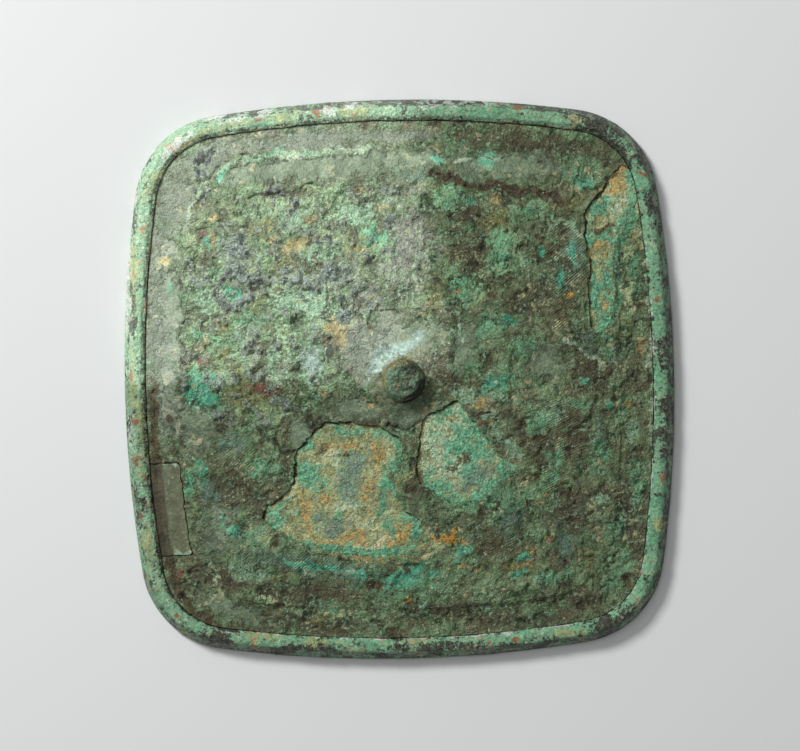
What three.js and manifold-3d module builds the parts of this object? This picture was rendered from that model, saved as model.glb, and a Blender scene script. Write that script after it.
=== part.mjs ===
// A rounded-square bronze mirror lying on its reflecting face, with the knob up.
// It is built as a composite mirror: a thin reflecting plate let into the front of a raised frame,
// a bed of lacquer paste on the plate, a domed back sheet on the bed, broken through in three
// places, a loose tile of the sheet's border, and a pierced knob whose tenon stands in the bed.
// Millimetres, +Z up. The origin is the centre of the resting face, and +Y is the mirror's top.
import * as THREE from "three";
import { mergeVertices } from "three/addons/utils/BufferGeometryUtils.js";
import Module from "manifold-3d";

const wasm = await Module();
wasm.setup();

// The mirror's outline: four shallow arcs joined by four corner arcs
const mirrorWidth = 150;
const mirrorHeight = 152.6;
const sideArcRadius = 341;
const cornerRadius = 25.1;

// The frame
const frameHeight = 6.5;
const footChamfer = 0.4;
const edgeHeight = 1.6; // upright edge beside the reflecting face
const bevelWidth = 1.9; // outer bevel above that edge, as seen from the back
const rimTopWidth = 3.3;
const rimRounding = 0.5;
const shelfWidth = 0.8; // small step on the rim's inner wall
const shelfDrop = 0.9; // how far the step lies below the rim's top
const ledgeWidth = 2.4; // the ledge that carries the back sheet's border
const ledgeThickness = 1.3;
const frameFaceWidth = 3.2; // the frame's own face round the reflecting plate
const plateThickness = 2;

// The back sheet: a border, a small step up to a domed field, and the field's own outline
const sheetThickness = 1.2;
const sideBorderWidth = 9;
const endBorderWidth = 8.1;
const borderRise = 0.8;
const fieldStep = 0.5;
const fieldStepWidth = 0.6;
const fieldCornerRadius = 21;
const domeRise = 4.3;
const domeFullness = 1.7; // 1 is a straight cone, 2 is a full pillow

// The raised collar under the knob, a little off the middle
const collarCentre = [2.5, 0.5];
const collarRadius = 12;
const collarRise = 2.2;
const collarFlare = 1.8; // 1 is a straight cone, more is hollower
const collarSeatMargin = 0.7; // flat ring of the collar that shows round the knob

// The knob
const knobCentre = [1, -0.5];
const knobRadius = 6;
const knobHeight = 5;
const knobTaper = 0.4;
const knobRounding = 1.3;
const tenonRadius = 3.2;
const cordHoleWidth = 3.4;
const cordHoleHeight = 2.9;
const cordHoleFloor = 0.3;
const cordHoleTurn = 15; // degrees from the mirror's upright

// Breaks through the sheet, from the mirror's centre, and the paste that fills them
const fillDepth = 0.6; // how far the paste lies below the sheet's surface
const lowerBreak = [
  [-38, -35.5], [-30.5, -29.5], [-28.5, -20], [-23, -13], [-18, -11], [-10, -12], [-4.5, -13.5],
  [0.5, -17.5], [-1.5, -27], [0, -34.5], [5.5, -40], [0.5, -47.5], [-17, -47], [-32, -42],
];
const middleBreak = [
  [15.5, -6], [11, -8.5], [6.5, -11], [4.5, -20], [5, -28], [13.5, -33.5], [22, -32.5],
  [28, -25], [24, -18], [19, -11],
];

// The break at the upper right corner, in from the mirror's right side and its top
const cornerBreak = [
  [13.5, 18.8], [19, 25.8], [24, 32.8], [23, 45.3], [23, 62.3], [19, 63.8], [16, 55.8],
  [15.5, 41.3], [10.5, 31.3], [10.5, 23.3],
];

// The loose tile at the left of the border
const tileTop = -21.5;
const tileBottom = -47;
const crackWidth = 0.45;

const clearance = 0.3; // between pieces that are let into each other

// How finely the curved shapes are divided
const sideSteps = 4;
const cornerSteps = 8;
const domeRings = 6;
const collarRings = 4;
const breakSteps = 36;
const knobSides = 40;
const archSteps = 10;
const roundingSteps = 4;

const degree = Math.PI / 180;

// Heights, from the resting face up
const ledgeTop = plateThickness + ledgeThickness;
const borderTop = ledgeTop + sheetThickness;
const domeEdge = borderTop + borderRise + fieldStep;
const domeTop = domeEdge + domeRise;
const collarTop = domeTop + collarRise;
const knobTop = collarTop + knobHeight;
const shelfHeight = frameHeight - shelfDrop;
const aboveAll = knobTop + clearance;

// Insets from the mirror's outline
const plateInset = frameFaceWidth + clearance;
const rimInnerInset = bevelWidth + rimTopWidth;
const shelfInset = rimInnerInset + shelfWidth;
const sheetInset = shelfInset + clearance;
const ledgeInset = shelfInset + ledgeWidth;
const bedInset = ledgeInset + clearance;

const fieldWidth = mirrorWidth - 2 * (shelfInset + sideBorderWidth);
const fieldHeight = mirrorHeight - 2 * (shelfInset + endBorderWidth);
const collarSeatRadius = knobRadius + collarSeatMargin;
const tenonHoleRadius = tenonRadius + clearance;

// A rounded square whose corner arcs run smoothly into its four side arcs
function roundedSquare(width, height, sideArc, corner, centre = [0, 0]) {
  const sideCentre = [width / 2 - sideArc, 0];
  const topCentre = [0, height / 2 - sideArc];
  const apart = Math.hypot(sideCentre[0], topCentre[1]);
  const rise = Math.sqrt((sideArc - corner) ** 2 - (apart / 2) ** 2) / apart;
  const cornerCentre = [
    sideCentre[0] / 2 - topCentre[1] * rise,
    topCentre[1] / 2 - sideCentre[0] * rise,
  ];
  // How far each side arc runs from its middle before the corner arc takes over
  const sideEnd = Math.atan2(cornerCentre[1], cornerCentre[0] - sideCentre[0]);
  const topEnd = Math.atan2(cornerCentre[0], cornerCentre[1] - topCentre[1]);
  return { width, height, sideArc, corner, centre, sideCentre, topCentre, cornerCentre, sideEnd, topEnd };
}

// A circle is a rounded square that is all corner
const circle = (radius, centre) => roundedSquare(2 * radius, 2 * radius, sideArcRadius, radius, centre);

function inset(outline, distance) {
  return roundedSquare(
    outline.width - 2 * distance,
    outline.height - 2 * distance,
    outline.sideArc - distance,
    outline.corner - distance,
    outline.centre,
  );
}

// Distance from the origin to the far side of a circle, along a unit direction
function reachToCircle([x, y], [centreX, centreY], radius) {
  const along = x * centreX + y * centreY;
  return along + Math.sqrt(along ** 2 - centreX ** 2 - centreY ** 2 + radius ** 2);
}

// Distance from an outline's centre to its edge, at an angle
function reach(outline, angle) {
  const { sideCentre, topCentre, cornerCentre, sideArc, corner } = outline;
  const x = Math.abs(Math.cos(angle));
  const y = Math.abs(Math.sin(angle));
  const toSide = reachToCircle([x, y], sideCentre, sideArc);
  if (Math.atan2(y * toSide, x * toSide - sideCentre[0]) <= outline.sideEnd) return toSide;
  const toTop = reachToCircle([x, y], topCentre, sideArc);
  if (Math.atan2(x * toTop, y * toTop - topCentre[1]) <= outline.topEnd) return toTop;
  return reachToCircle([x, y], cornerCentre, corner);
}

function outlinePoint(outline, angle) {
  const distance = reach(outline, angle);
  return [
    outline.centre[0] + distance * Math.cos(angle),
    outline.centre[1] + distance * Math.sin(angle),
  ];
}

// Angles round an outline, anticlockwise from +X, closest together on its corner arcs
function anglesRound({ corner, cornerCentre, sideEnd, topEnd }) {
  const cornerStart = Math.atan2(
    cornerCentre[1] + corner * Math.sin(sideEnd),
    cornerCentre[0] + corner * Math.cos(sideEnd),
  );
  const cornerStop = Math.atan2(
    cornerCentre[1] + corner * Math.cos(topEnd),
    cornerCentre[0] + corner * Math.sin(topEnd),
  );
  const stretches = [
    [0, cornerStart, sideSteps],
    [cornerStart, cornerStop, cornerSteps],
    [cornerStop, 90 * degree, sideSteps],
  ];
  const quadrant = stretches.flatMap(([from, to, steps]) =>
    Array.from({ length: steps }, (_, i) => from + ((to - from) * i) / steps),
  );
  const pastTop = quadrant.slice(1).reverse().map((angle) => 180 * degree - angle);
  const half = [...quadrant, 90 * degree, ...pastTop];
  return [...half, ...half.map((angle) => angle + 180 * degree)];
}

const mirrorOutline = roundedSquare(mirrorWidth, mirrorHeight, sideArcRadius, cornerRadius);
const fieldOutline = roundedSquare(fieldWidth, fieldHeight, sideArcRadius, fieldCornerRadius);
const angles = anglesRound(mirrorOutline);

// A ring-shaped solid from outlines at heights. Its section goes out along the top and back in
// along the bottom.
function ringSolid(section) {
  const count = angles.length;
  const positions = section.flatMap(({ outline, z }) =>
    angles.flatMap((angle) => [...outlinePoint(outline, angle), z]),
  );
  const faces = section.flatMap((_, ring) => {
    const next = (ring + 1) % section.length;
    return angles.flatMap((_, i) => {
      const j = (i + 1) % count;
      const corners = [ring * count + i, ring * count + j, next * count + j, next * count + i];
      return [corners[0], corners[2], corners[1], corners[0], corners[3], corners[2]];
    });
  });
  const geometry = new THREE.BufferGeometry();
  geometry.setAttribute("position", new THREE.Float32BufferAttribute(positions, 3));
  geometry.setIndex(faces);
  return geometry;
}

// A three.js geometry as a solid that can be cut and joined, and back again
function solid(geometry) {
  const bare = geometry.clone();
  for (const name of ["normal", "uv"]) bare.deleteAttribute(name);
  const merged = mergeVertices(bare, 1e-4);
  return new wasm.Manifold(
    new wasm.Mesh({
      numProp: 3,
      vertProperties: new Float32Array(merged.attributes.position.array),
      triVerts: new Uint32Array(merged.index.array),
    }),
  );
}

function geometryOf(manifold) {
  const { vertProperties, triVerts } = manifold.getMesh();
  const geometry = new THREE.BufferGeometry();
  geometry.setAttribute("position", new THREE.Float32BufferAttribute(vertProperties, 3));
  geometry.setIndex([...triVerts]);
  return geometry;
}

// An upright prism of a flat shape between two heights
function prism(shape, low, high) {
  const geometry = new THREE.ExtrudeGeometry(shape, { depth: high - low, bevelEnabled: false });
  return geometry.translate(0, 0, low);
}

function outlineShape(outline) {
  return new THREE.Shape(angles.map((angle) => new THREE.Vector2(...outlinePoint(outline, angle))));
}

// A smooth closed shape through a break's points, drawn in all round by a distance
function breakShape(points, drawnIn = 0) {
  const through = points.map(([x, y]) => new THREE.Vector3(x, y, 0));
  const edge = new THREE.CatmullRomCurve3(through, true).getPoints(breakSteps).slice(0, -1);
  const turn = Math.sign(THREE.ShapeUtils.area(edge));
  return new THREE.Shape(
    edge.map((point, i) => {
      const before = edge.at(i - 1);
      const after = edge[(i + 1) % edge.length];
      const inward = new THREE.Vector2(before.y - after.y, after.x - before.x);
      return inward.setLength(turn * drawnIn).add(point);
    }),
  );
}

// The frame: ledge, stepped inner wall, rim, bevel, upright edge, foot and the plate's rebate
function rimFrame() {
  const at = (distance, z) => ({ outline: inset(mirrorOutline, distance), z });
  return ringSolid([
    at(ledgeInset, plateThickness),
    at(ledgeInset, ledgeTop),
    at(shelfInset, ledgeTop),
    at(shelfInset, shelfHeight),
    at(rimInnerInset, shelfHeight),
    at(rimInnerInset, frameHeight - rimRounding),
    at(rimInnerInset - rimRounding, frameHeight),
    at(bevelWidth + rimRounding, frameHeight),
    at(bevelWidth, frameHeight - rimRounding),
    at(0, edgeHeight),
    at(0, footChamfer),
    at(footChamfer, 0),
    at(frameFaceWidth, 0),
    at(frameFaceWidth, plateThickness),
  ]);
}

function reflectingPlate() {
  return prism(outlineShape(inset(mirrorOutline, plateInset)), 0, plateThickness);
}

// The back's surface from the knob's seat out to the frame, lowered by a depth. The border lies
// flat over the ledge, and the dome changes from the field's outline to the collar's circle.
function backSurface(depth) {
  const blend = (from, to, share) => from + (to - from) * share;
  const rings = [{ outline: circle(tenonHoleRadius, knobCentre), z: collarTop }];
  for (let i = collarRings; i > 0; i--) {
    const share = i / collarRings;
    const centre = collarCentre.map((value, axis) => blend(value, knobCentre[axis], share));
    const outline = circle(blend(collarRadius, collarSeatRadius, share), centre);
    rings.push({ outline, z: domeTop + collarRise * share ** collarFlare });
  }
  for (let i = 0; i <= domeRings; i++) {
    const share = i / domeRings;
    const outline = roundedSquare(
      blend(2 * collarRadius, fieldWidth, share),
      blend(2 * collarRadius, fieldHeight, share),
      sideArcRadius,
      blend(collarRadius, fieldCornerRadius, share),
      collarCentre.map((value) => blend(value, 0, share)),
    );
    rings.push({ outline, z: domeEdge + domeRise * (1 - share ** domeFullness) });
  }
  rings.push({ outline: inset(fieldOutline, -fieldStepWidth), z: domeEdge - fieldStep });
  rings.push({ outline: inset(mirrorOutline, bedInset), z: borderTop });
  rings.push({ outline: inset(mirrorOutline, sheetInset), z: borderTop });
  return rings.map(({ outline, z }) => ({ outline, z: z - depth }));
}

// The back sheet as it was before it broke
const wholeSheet = solid(ringSolid([...backSurface(0), ...backSurface(sheetThickness).reverse()]));

// The left part of the border between the tile's two ends, drawn in all round by a distance
function tileRegion(drawnIn) {
  const length = tileTop - tileBottom - 2 * drawnIn;
  const strip = new THREE.BoxGeometry(mirrorWidth / 2, length, aboveAll);
  strip.translate(-mirrorWidth / 4, (tileTop + tileBottom) / 2, aboveAll / 2);
  const field = outlineShape(inset(fieldOutline, -fieldStepWidth - drawnIn));
  return solid(strip).subtract(solid(prism(field, 0, aboveAll)));
}

const breaks = [
  lowerBreak,
  middleBreak,
  cornerBreak.map(([across, down]) => [mirrorWidth / 2 - across, mirrorHeight / 2 - down]),
];

// A break as an upright cutter, drawn in all round by a distance
const breakCutter = (points, drawnIn) => solid(prism(breakShape(points, drawnIn), 0, aboveAll));

function backSheet() {
  let sheet = wholeSheet.subtract(tileRegion(0));
  for (const points of breaks) sheet = sheet.subtract(breakCutter(points, 0));
  return geometryOf(sheet);
}

function borderTile() {
  return geometryOf(wholeSheet.intersect(tileRegion(crackWidth)));
}

// The paste: it lies on the plate under the sheet, round the tenon, and swells up in the breaks
function beddingLayer() {
  const tenonHole = circle(tenonHoleRadius, knobCentre);
  const under = backSurface(sheetThickness + clearance).slice(0, -1);
  const bedEdge = { outline: inset(mirrorOutline, bedInset), z: plateThickness };
  let paste = solid(ringSolid([...under, bedEdge, { outline: tenonHole, z: plateThickness }]));
  const swellingEdge = { outline: inset(mirrorOutline, sheetInset), z: ledgeTop };
  const swelling = solid(
    ringSolid([...backSurface(fillDepth), swellingEdge, { outline: tenonHole, z: ledgeTop }]),
  );
  for (const points of breaks) {
    paste = paste.add(swelling.intersect(breakCutter(points, clearance)));
  }
  return geometryOf(paste);
}

// The knob: a tenon, a shoulder that sits on the collar, and a stub pierced for the cord
function knob() {
  const stubRadius = knobRadius - knobTaper;
  const profile = new THREE.Path();
  profile.moveTo(0, plateThickness + clearance);
  profile.lineTo(tenonRadius, plateThickness + clearance);
  profile.lineTo(tenonRadius, collarTop);
  profile.lineTo(knobRadius, collarTop);
  profile.lineTo(stubRadius, knobTop - knobRounding);
  profile.quadraticCurveTo(stubRadius, knobTop, stubRadius - knobRounding, knobTop);
  profile.lineTo(0, knobTop);
  const turned = new THREE.LatheGeometry(profile.getPoints(roundingSteps), knobSides);
  turned.rotateX(90 * degree);

  const archRadius = cordHoleWidth / 2;
  const springing = cordHoleHeight - archRadius;
  const arch = new THREE.Shape();
  arch.moveTo(-archRadius, 0);
  arch.lineTo(archRadius, 0);
  arch.lineTo(archRadius, springing);
  arch.absarc(0, springing, archRadius, 0, 180 * degree, false);
  const length = 2 * knobRadius + 2 * clearance;
  const cordHole = new THREE.ExtrudeGeometry(arch, {
    depth: length,
    bevelEnabled: false,
    curveSegments: archSteps,
  });
  cordHole.translate(0, 0, -length / 2);
  cordHole.rotateX(90 * degree);
  cordHole.rotateZ(cordHoleTurn * degree);
  cordHole.translate(0, 0, collarTop + cordHoleFloor);
  return geometryOf(solid(turned).subtract(solid(cordHole))).translate(...knobCentre, 0);
}

function piece(name, geometry, color, roughness, metalness) {
  geometry.computeVertexNormals();
  const mesh = new THREE.Mesh(geometry, new THREE.MeshStandardMaterial({ color, roughness, metalness }));
  mesh.name = name;
  return mesh;
}

const mirror = new THREE.Group();
mirror.add(
  piece("rim_frame", rimFrame(), 0x6f9a7c, 0.7, 0.3),
  piece("reflecting_plate", reflectingPlate(), 0x5c6156, 0.35, 0.8),
  piece("bedding_layer", beddingLayer(), 0xa8905a, 0.95, 0),
  piece("back_sheet", backSheet(), 0x63674f, 0.6, 0.4),
  piece("border_tile", borderTile(), 0x5e5b48, 0.5, 0.4),
  piece("knob", knob(), 0x48574a, 0.7, 0.4),
);

export default mirror;
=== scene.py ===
# A rounded-square bronze mirror lying on its reflecting face, seen from straight above its back.
# The sections follow the mirror as it is put together: frame, reflecting plate, paste, back sheet,
# loose tile and knob, then the crust grown on it, then the floor, lamps and camera.
import math

import bpy
import numpy as np
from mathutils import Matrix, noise


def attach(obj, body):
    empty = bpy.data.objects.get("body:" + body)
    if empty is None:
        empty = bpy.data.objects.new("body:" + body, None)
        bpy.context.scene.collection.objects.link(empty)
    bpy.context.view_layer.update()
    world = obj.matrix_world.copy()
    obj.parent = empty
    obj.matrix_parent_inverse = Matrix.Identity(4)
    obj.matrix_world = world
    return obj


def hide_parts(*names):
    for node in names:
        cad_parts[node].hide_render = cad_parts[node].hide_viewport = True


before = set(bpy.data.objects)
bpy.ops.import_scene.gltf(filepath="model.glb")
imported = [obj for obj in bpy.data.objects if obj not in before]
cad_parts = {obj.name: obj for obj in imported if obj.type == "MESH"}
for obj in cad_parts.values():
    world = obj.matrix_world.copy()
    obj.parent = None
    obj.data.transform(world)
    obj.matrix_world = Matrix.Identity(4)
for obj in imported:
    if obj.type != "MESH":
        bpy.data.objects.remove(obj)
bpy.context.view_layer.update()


# The frame: cast bronze, with an outer bevel, a rolled rim and a stepped inner wall that the back
# is let into. It came from the mould in one piece. It is under a powdery pale green crust, worn to
# grey and dark metal along its outer edge.
MILLIMETRE = 0.001
mirror_width = 150.0
mirror_height = 152.6
side_arc_radius = 341.0
corner_radius = 25.1
frame_height = 6.5
foot_chamfer = 0.4
edge_height = 1.6
bevel_width = 1.9
rim_top_width = 3.3
rim_rounding = 0.5
shelf_width = 0.8
shelf_drop = 0.9
ledge_width = 2.4
ledge_thickness = 1.3
frame_face_width = 3.2
plate_thickness = 2.0
clearance = 0.3
ledge_top = plate_thickness + ledge_thickness
rim_inner_inset = bevel_width + rim_top_width
shelf_inset = rim_inner_inset + shelf_width
shelf_height = frame_height - shelf_drop
ledge_inset = shelf_inset + ledge_width


def rounded_square(width, height, side_arc, corner):
    """Four shallow arcs joined by four corner arcs, from numbers or from arrays of them"""
    side_x = width / 2 - side_arc
    top_y = height / 2 - side_arc
    apart = np.hypot(side_x, top_y)
    rise = np.sqrt((side_arc - corner) ** 2 - (apart / 2) ** 2) / apart
    corner_x = side_x / 2 - top_y * rise
    corner_y = top_y / 2 - side_x * rise
    return {
        "side": (side_x, 0 * side_x, side_arc),
        "top": (0 * top_y, top_y, side_arc),
        "corner": (corner_x, corner_y, corner),
        "side_end": np.arctan2(corner_y, corner_x - side_x),
        "top_end": np.arctan2(corner_x, corner_y - top_y),
    }


def edge_places(outline, turns, inset):
    """Places on an outline, drawn in by an inset, where its edge faces each of the given turns"""
    east = np.cos(turns)
    north = np.sin(turns)
    folded = np.arctan2(np.abs(north), np.abs(east))
    on_side = folded <= outline["side_end"]
    on_top = folded >= math.pi / 2 - outline["top_end"]
    arcs = [
        np.where(on_side, side, np.where(on_top, top, corner))
        for side, top, corner in zip(outline["side"], outline["top"], outline["corner"])
    ]
    radius = arcs[2] - inset
    x = arcs[0] * np.sign(east) + radius * east
    y = arcs[1] * np.sign(north) + radius * north
    return x, y


def even_turns(outline, count):
    """The turns of the outline's edge at evenly spaced places round it"""
    turns = np.linspace(0, 2 * math.pi, 20001)
    x, y = edge_places(outline, turns, 0)
    walked = np.concatenate(([0], np.cumsum(np.hypot(np.diff(x), np.diff(y)))))
    return np.interp(np.arange(count) * walked[-1] / count, walked, turns)


def unevenness(places, size, octaves=3, seed=0):
    """Natural unevenness at places in millimetres, in lumps of about a size, mostly within -1 to 1"""
    shifted = places / size + np.array((31.7, 17.3, 5.9)) * (seed + 1)
    return 1.6 * np.array([noise.fractal(at, 0.85, 2.1, octaves) for at in shifted.tolist()])


def lumpy(places, *lumps):
    """Lumps of several sizes together. Each row: height, size, octaves and seed"""
    return sum(height * unevenness(places, *lump) for height, *lump in lumps)


def moved_unevenly(places, amount, size, octaves, seed):
    """Places moved unevenly by an amount, so that what is drawn at them gets a natural outline"""
    moves = [unevenness(places, size, octaves, seed=seed + part) for part in range(3)]
    return places + amount * np.column_stack(moves)


def grown(places, spots):
    """1 in the middle of listed patches, 0.5 at their edges, 0 well outside them"""
    cover = np.zeros(len(places))
    for x, y, long, wide, *turned in spots:
        turn = math.radians(turned[0]) if turned else 0.0
        cosine = math.cos(turn)
        sine = math.sin(turn)
        east = places[:, 0] - x
        north = places[:, 1] - y
        away = np.hypot((east * cosine + north * sine) / long, (north * cosine - east * sine) / wide)
        cover = np.maximum(cover, 1 - 0.5 * away)
    return cover


def ramp(values, start, stop):
    """A smooth rise from 0 at the start to 1 at the stop"""
    share = np.clip((values - start) / (stop - start), 0, 1)
    return share * share * (3 - 2 * share)


def new_piece(name, places, faces):
    """A smooth-shaded mesh object from places in millimetres"""
    mesh = bpy.data.meshes.new(name)
    mesh.from_pydata((places * MILLIMETRE).tolist(), [], faces)
    mesh.polygons.foreach_set("use_smooth", [True] * len(mesh.polygons))
    mesh.update()
    piece = bpy.data.objects.new(name, mesh)
    bpy.context.scene.collection.objects.link(piece)
    return piece


def values_of(piece, name):
    """What a piece's vertices hold under a name, a row for each"""
    values = np.empty(3 * len(piece.data.vertices))
    piece.data.vertices.foreach_get(name, values)
    return values.reshape(-1, 3)


def places_of(piece):
    """Places of a piece's vertices in millimetres"""
    return values_of(piece, "co") / MILLIMETRE


def swell(piece, heights):
    """Moves a piece's surface outwards by heights in millimetres"""
    moved = places_of(piece) + values_of(piece, "normal") * heights[:, None]
    piece.data.vertices.foreach_set("co", (moved * MILLIMETRE).ravel())
    piece.data.update()


def store_masks(piece, masks):
    """Keeps named masks on a piece, three to a colour attribute, for its material to read"""
    names = list(masks)
    for start in range(0, len(names), 3):
        values = np.zeros((len(piece.data.vertices), 4))
        for channel, name in enumerate(names[start:start + 3]):
            values[:, channel] = masks[name]
        attribute = piece.data.color_attributes.new(f"masks_{start // 3}", "FLOAT_COLOR", "POINT")
        attribute.data.foreach_set("color", values.ravel())


mirror_outline = rounded_square(mirror_width, mirror_height, side_arc_radius, corner_radius)
around = 1240
section_step = 0.36
rim_section = [
    (ledge_inset, plate_thickness),
    (ledge_inset, ledge_top),
    (shelf_inset, ledge_top),
    (shelf_inset, shelf_height),
    (rim_inner_inset, shelf_height),
    (rim_inner_inset, frame_height - rim_rounding),
    (rim_inner_inset - rim_rounding, frame_height),
    (bevel_width + rim_rounding, frame_height),
    (bevel_width, frame_height - rim_rounding),
    (0, edge_height),
    (0, foot_chamfer),
    (foot_chamfer, 0),
    (frame_face_width, 0),
    (frame_face_width, plate_thickness),
]
# The stretches of the section from the foot of the inner wall over the rim to the outer wall show
stretches_in_sight = range(2, 10)
section = []
shown = []
for number, (inset, z) in enumerate(rim_section):
    next_inset, next_z = rim_section[(number + 1) % len(rim_section)]
    in_sight = number in stretches_in_sight
    steps = max(1, round(math.hypot(next_inset - inset, next_z - z) / section_step)) if in_sight else 1
    for step in range(steps):
        share = step / steps
        section.append((inset + (next_inset - inset) * share, z + (next_z - z) * share))
        shown.append(in_sight and (number, step) != (stretches_in_sight[0], 0))

# Crust and wear have rounded the section's corners wherever they are in sight
section = np.array(section)
for _ in range(3):
    beside = np.roll(section, 1, axis=0) + np.roll(section, -1, axis=0)
    section = np.where(np.array(shown)[:, None], 0.5 * section + 0.25 * beside, section)

rim_turns = even_turns(mirror_outline, around)
rim_rings = []
for inset, z in section:
    x, y = edge_places(mirror_outline, rim_turns, inset)
    rim_rings.append(np.column_stack((x, y, np.full(around, z))))
rim_faces = []
for ring in range(len(section)):
    above = ring * around
    below = (ring + 1) % len(section) * around
    for place in range(around):
        after = (place + 1) % around
        rim_faces.append((above + place, below + place, below + after, above + after))
rim = new_piece("patinated_rim", np.concatenate(rim_rings), rim_faces)

rim_places = places_of(rim)
rim_inset = np.repeat([inset for inset, z in section], around)
rim_level = np.repeat([z for inset, z in section], around)
rim_shown = ramp(rim_level, 0.2, 1.2)
on_ledge = ramp(rim_inset, ledge_inset, shelf_inset + 0.6)
rim_shown = np.where(rim_inset < shelf_inset, rim_shown, rim_shown * on_ledge)
rim_lumps = lumpy(rim_places, (0.13, 5.5, 3, 0), (0.09, 1.3, 3, 2))
rim_chips = ramp(unevenness(rim_places, 4.2, 3, seed=5), 0.35, 0.75)
outer_edge = ramp(rim_inset, 2.6, 0.6) * ramp(rim_level, 1, 3)
swell(rim, rim_shown * (rim_lumps - 0.18) - 0.3 * rim_chips * outer_edge)

# Patches on the frame: place across the mirror, half length, half width, and turn in degrees where
# a patch is turned
rim_dark = [
    (71, 6.5, 3, 3, 90), (71.8, -9.3, 3.2, 2.8, 90), (72.2, -16.6, 3, 3, 90), (69.5, 47, 4, 1.5, 80),
    (62, 62, 8, 3, -45), (52, 69, 6, 2, -15), (60, -67, 11, 4, 25), (10, -73, 16, 1.6),
    (-25, -73, 12, 1.6), (-72, 20, 9, 0.8, 90), (73, -48, 12, 1.5, 85), (-52, -69.5, 7, 2, -20),
]
rim_rust = [
    (-72, -21, 1, 1), (-72, -10, 1.2, 0.8), (-71, -36, 1, 1), (-69.5, -26, 1, 0.7), (-69, -33, 0.8, 0.8),
    (-62, -63, 1, 1), (-42, 69.2, 1, 0.7), (-21, 72.5, 1.2, 0.8), (-37, 71, 1, 0.7), (34, 73.5, 1, 0.8),
    (-73, 3, 0.8, 1.2), (-66, 52, 0.9, 0.9), (67, 55, 0.9, 0.7), (70, 20, 0.8, 0.8), (71, -28, 0.7, 1),
    (30, -72, 1, 0.6),
]
rim_yellow = [
    (-38, -68, 7, 1.6, -6), (-24, -71, 4, 1.2), (-70, -14, 8, 1.6, 90), (69.5, -41, 1.6, 1.4),
    (-69, -45, 7, 1.2, 95), (4, -70, 5, 1), (45, -70, 4, 1, 5), (-55, 66, 7, 1.2, 30),
    (-66, 55, 6, 1.2, 60), (-46, 69.5, 5, 1, 15), (-30, 72, 4, 1.2, 5), (-71.5, 30, 7, 1, 88),
    (-72.5, 2, 8, 0.8, 90), (-12, 73, 3, 1), (50, 69, 3, 1, -20),
]
# Pale crust, with painted glints on the rim's top and painted highlight lines along its lit edges
rim_pale_crust_and_glints = [
    (-46, 72, 4, 1.2, 5), (-36, 73, 1.5, 1), (-18, 73.5, 2, 1), (-12, 75, 2, 0.7),
    (-74, 30, 14, 0.9, 92), (-72, 50, 7, 0.8, 70), (15, 74.8, 9, 0.7), (15, -69.3, 15, 0.5),
    (-60, 64, 6, 0.9, 45), (-74, -12, 4, 0.6, 90),
]
rim_strayed = moved_unevenly(rim_places, 0.9, 3.2, 2, 7)
rim_grain = unevenness(rim_places, 2.1, 3, seed=4)
band = ramp(rim_inset, 1.5, 2.2) * ramp(rim_inset, rim_inner_inset + 0.5, rim_inner_inset - 0.4)
right_lower = ramp(0.8 * rim_places[:, 0] - rim_places[:, 1], -10, 70)
left_share = ramp(rim_places[:, 0] - 0.2 * rim_places[:, 1], -50, -70)
shaded_side = ramp(rim_places[:, 0] - rim_places[:, 1], 25, -25)
# Mint crust is spread onto the inner wall only on its side facing the lamp, painting that side lighter than
# the side in shade
lit_wall = (1 - shaded_side) * ramp(rim_inset, rim_inner_inset - 0.6, rim_inner_inset)
rim_sway = unevenness(rim_places, 7, 3, seed=6)
crust_cover = 0.38 + 0.5 * band - 0.1 * right_lower + 0.17 * rim_grain
crust_cover += 0.26 * rim_sway * (1 - band) + 0.32 * lit_wall
crust_cover += 0.42 * left_share * (1 - band) * ramp(rim_inset, rim_inner_inset, 2)
crust_cover -= 0.63 * ramp(grown(rim_strayed, rim_dark), 0.25, 0.75)
groove = ramp(rim_inset, rim_inner_inset - 0.1, shelf_inset) * ramp(rim_level, 6.1, 5.4)
# Painted highlight: the inner wall is painted pale on its side that faces the lamp
painted_lit_wall_highlight = 0.44 * groove * (1 - shaded_side)
# Painted light: the groove is painted paler on the side turned from the lamp, to lift the shadow that falls
# there
groove = groove * shaded_side * (0.85 + 0.35 * rim_grain)
pale_crust_and_painted_highlight = np.maximum(grown(rim_strayed, rim_pale_crust_and_glints), painted_lit_wall_highlight)
rim_masks = {
    "crust": crust_cover,
    "pale": pale_crust_and_painted_highlight,
    "yellow": grown(rim_strayed, rim_yellow),
    "rust": grown(rim_strayed, rim_rust),
    "groove": groove,
    "outer edge": outer_edge,
    "greening": 0.32 * ramp(rim_places[:, 0] - 0.5 * rim_places[:, 1], -60, 30),
}
store_masks(rim, rim_masks)


def paint(code):
    """A colour as written on a paint chart, in the linear values that a shader takes"""
    parts = [int(code[start:start + 2], 16) / 255 for start in (1, 3, 5)]
    linear = [part / 12.92 if part < 0.04045 else ((part + 0.055) / 1.055) ** 2.4 for part in parts]
    return (*linear, 1.0)


def feed(tree, node, inputs):
    """Gives a node its inputs, as links or as plain values"""
    for name, value in inputs.items():
        if isinstance(value, bpy.types.NodeSocket):
            tree.links.new(value, node.inputs[name])
        else:
            node.inputs[name].default_value = value


def put(tree, kind, inputs, **settings):
    """Adds a node with its settings and inputs, a shader node unless its kind is given in full"""
    node = tree.nodes.new(kind if "Node" in kind else "ShaderNode" + kind)
    for name, value in settings.items():
        setattr(node, name, value)
    feed(tree, node, inputs)
    return node


def calc(tree, operation, *values, use_clamp=False):
    """One step of reckoning on up to three values"""
    inputs = dict(enumerate(values))
    return put(tree, "Math", inputs, operation=operation, use_clamp=use_clamp).outputs[0]


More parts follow.
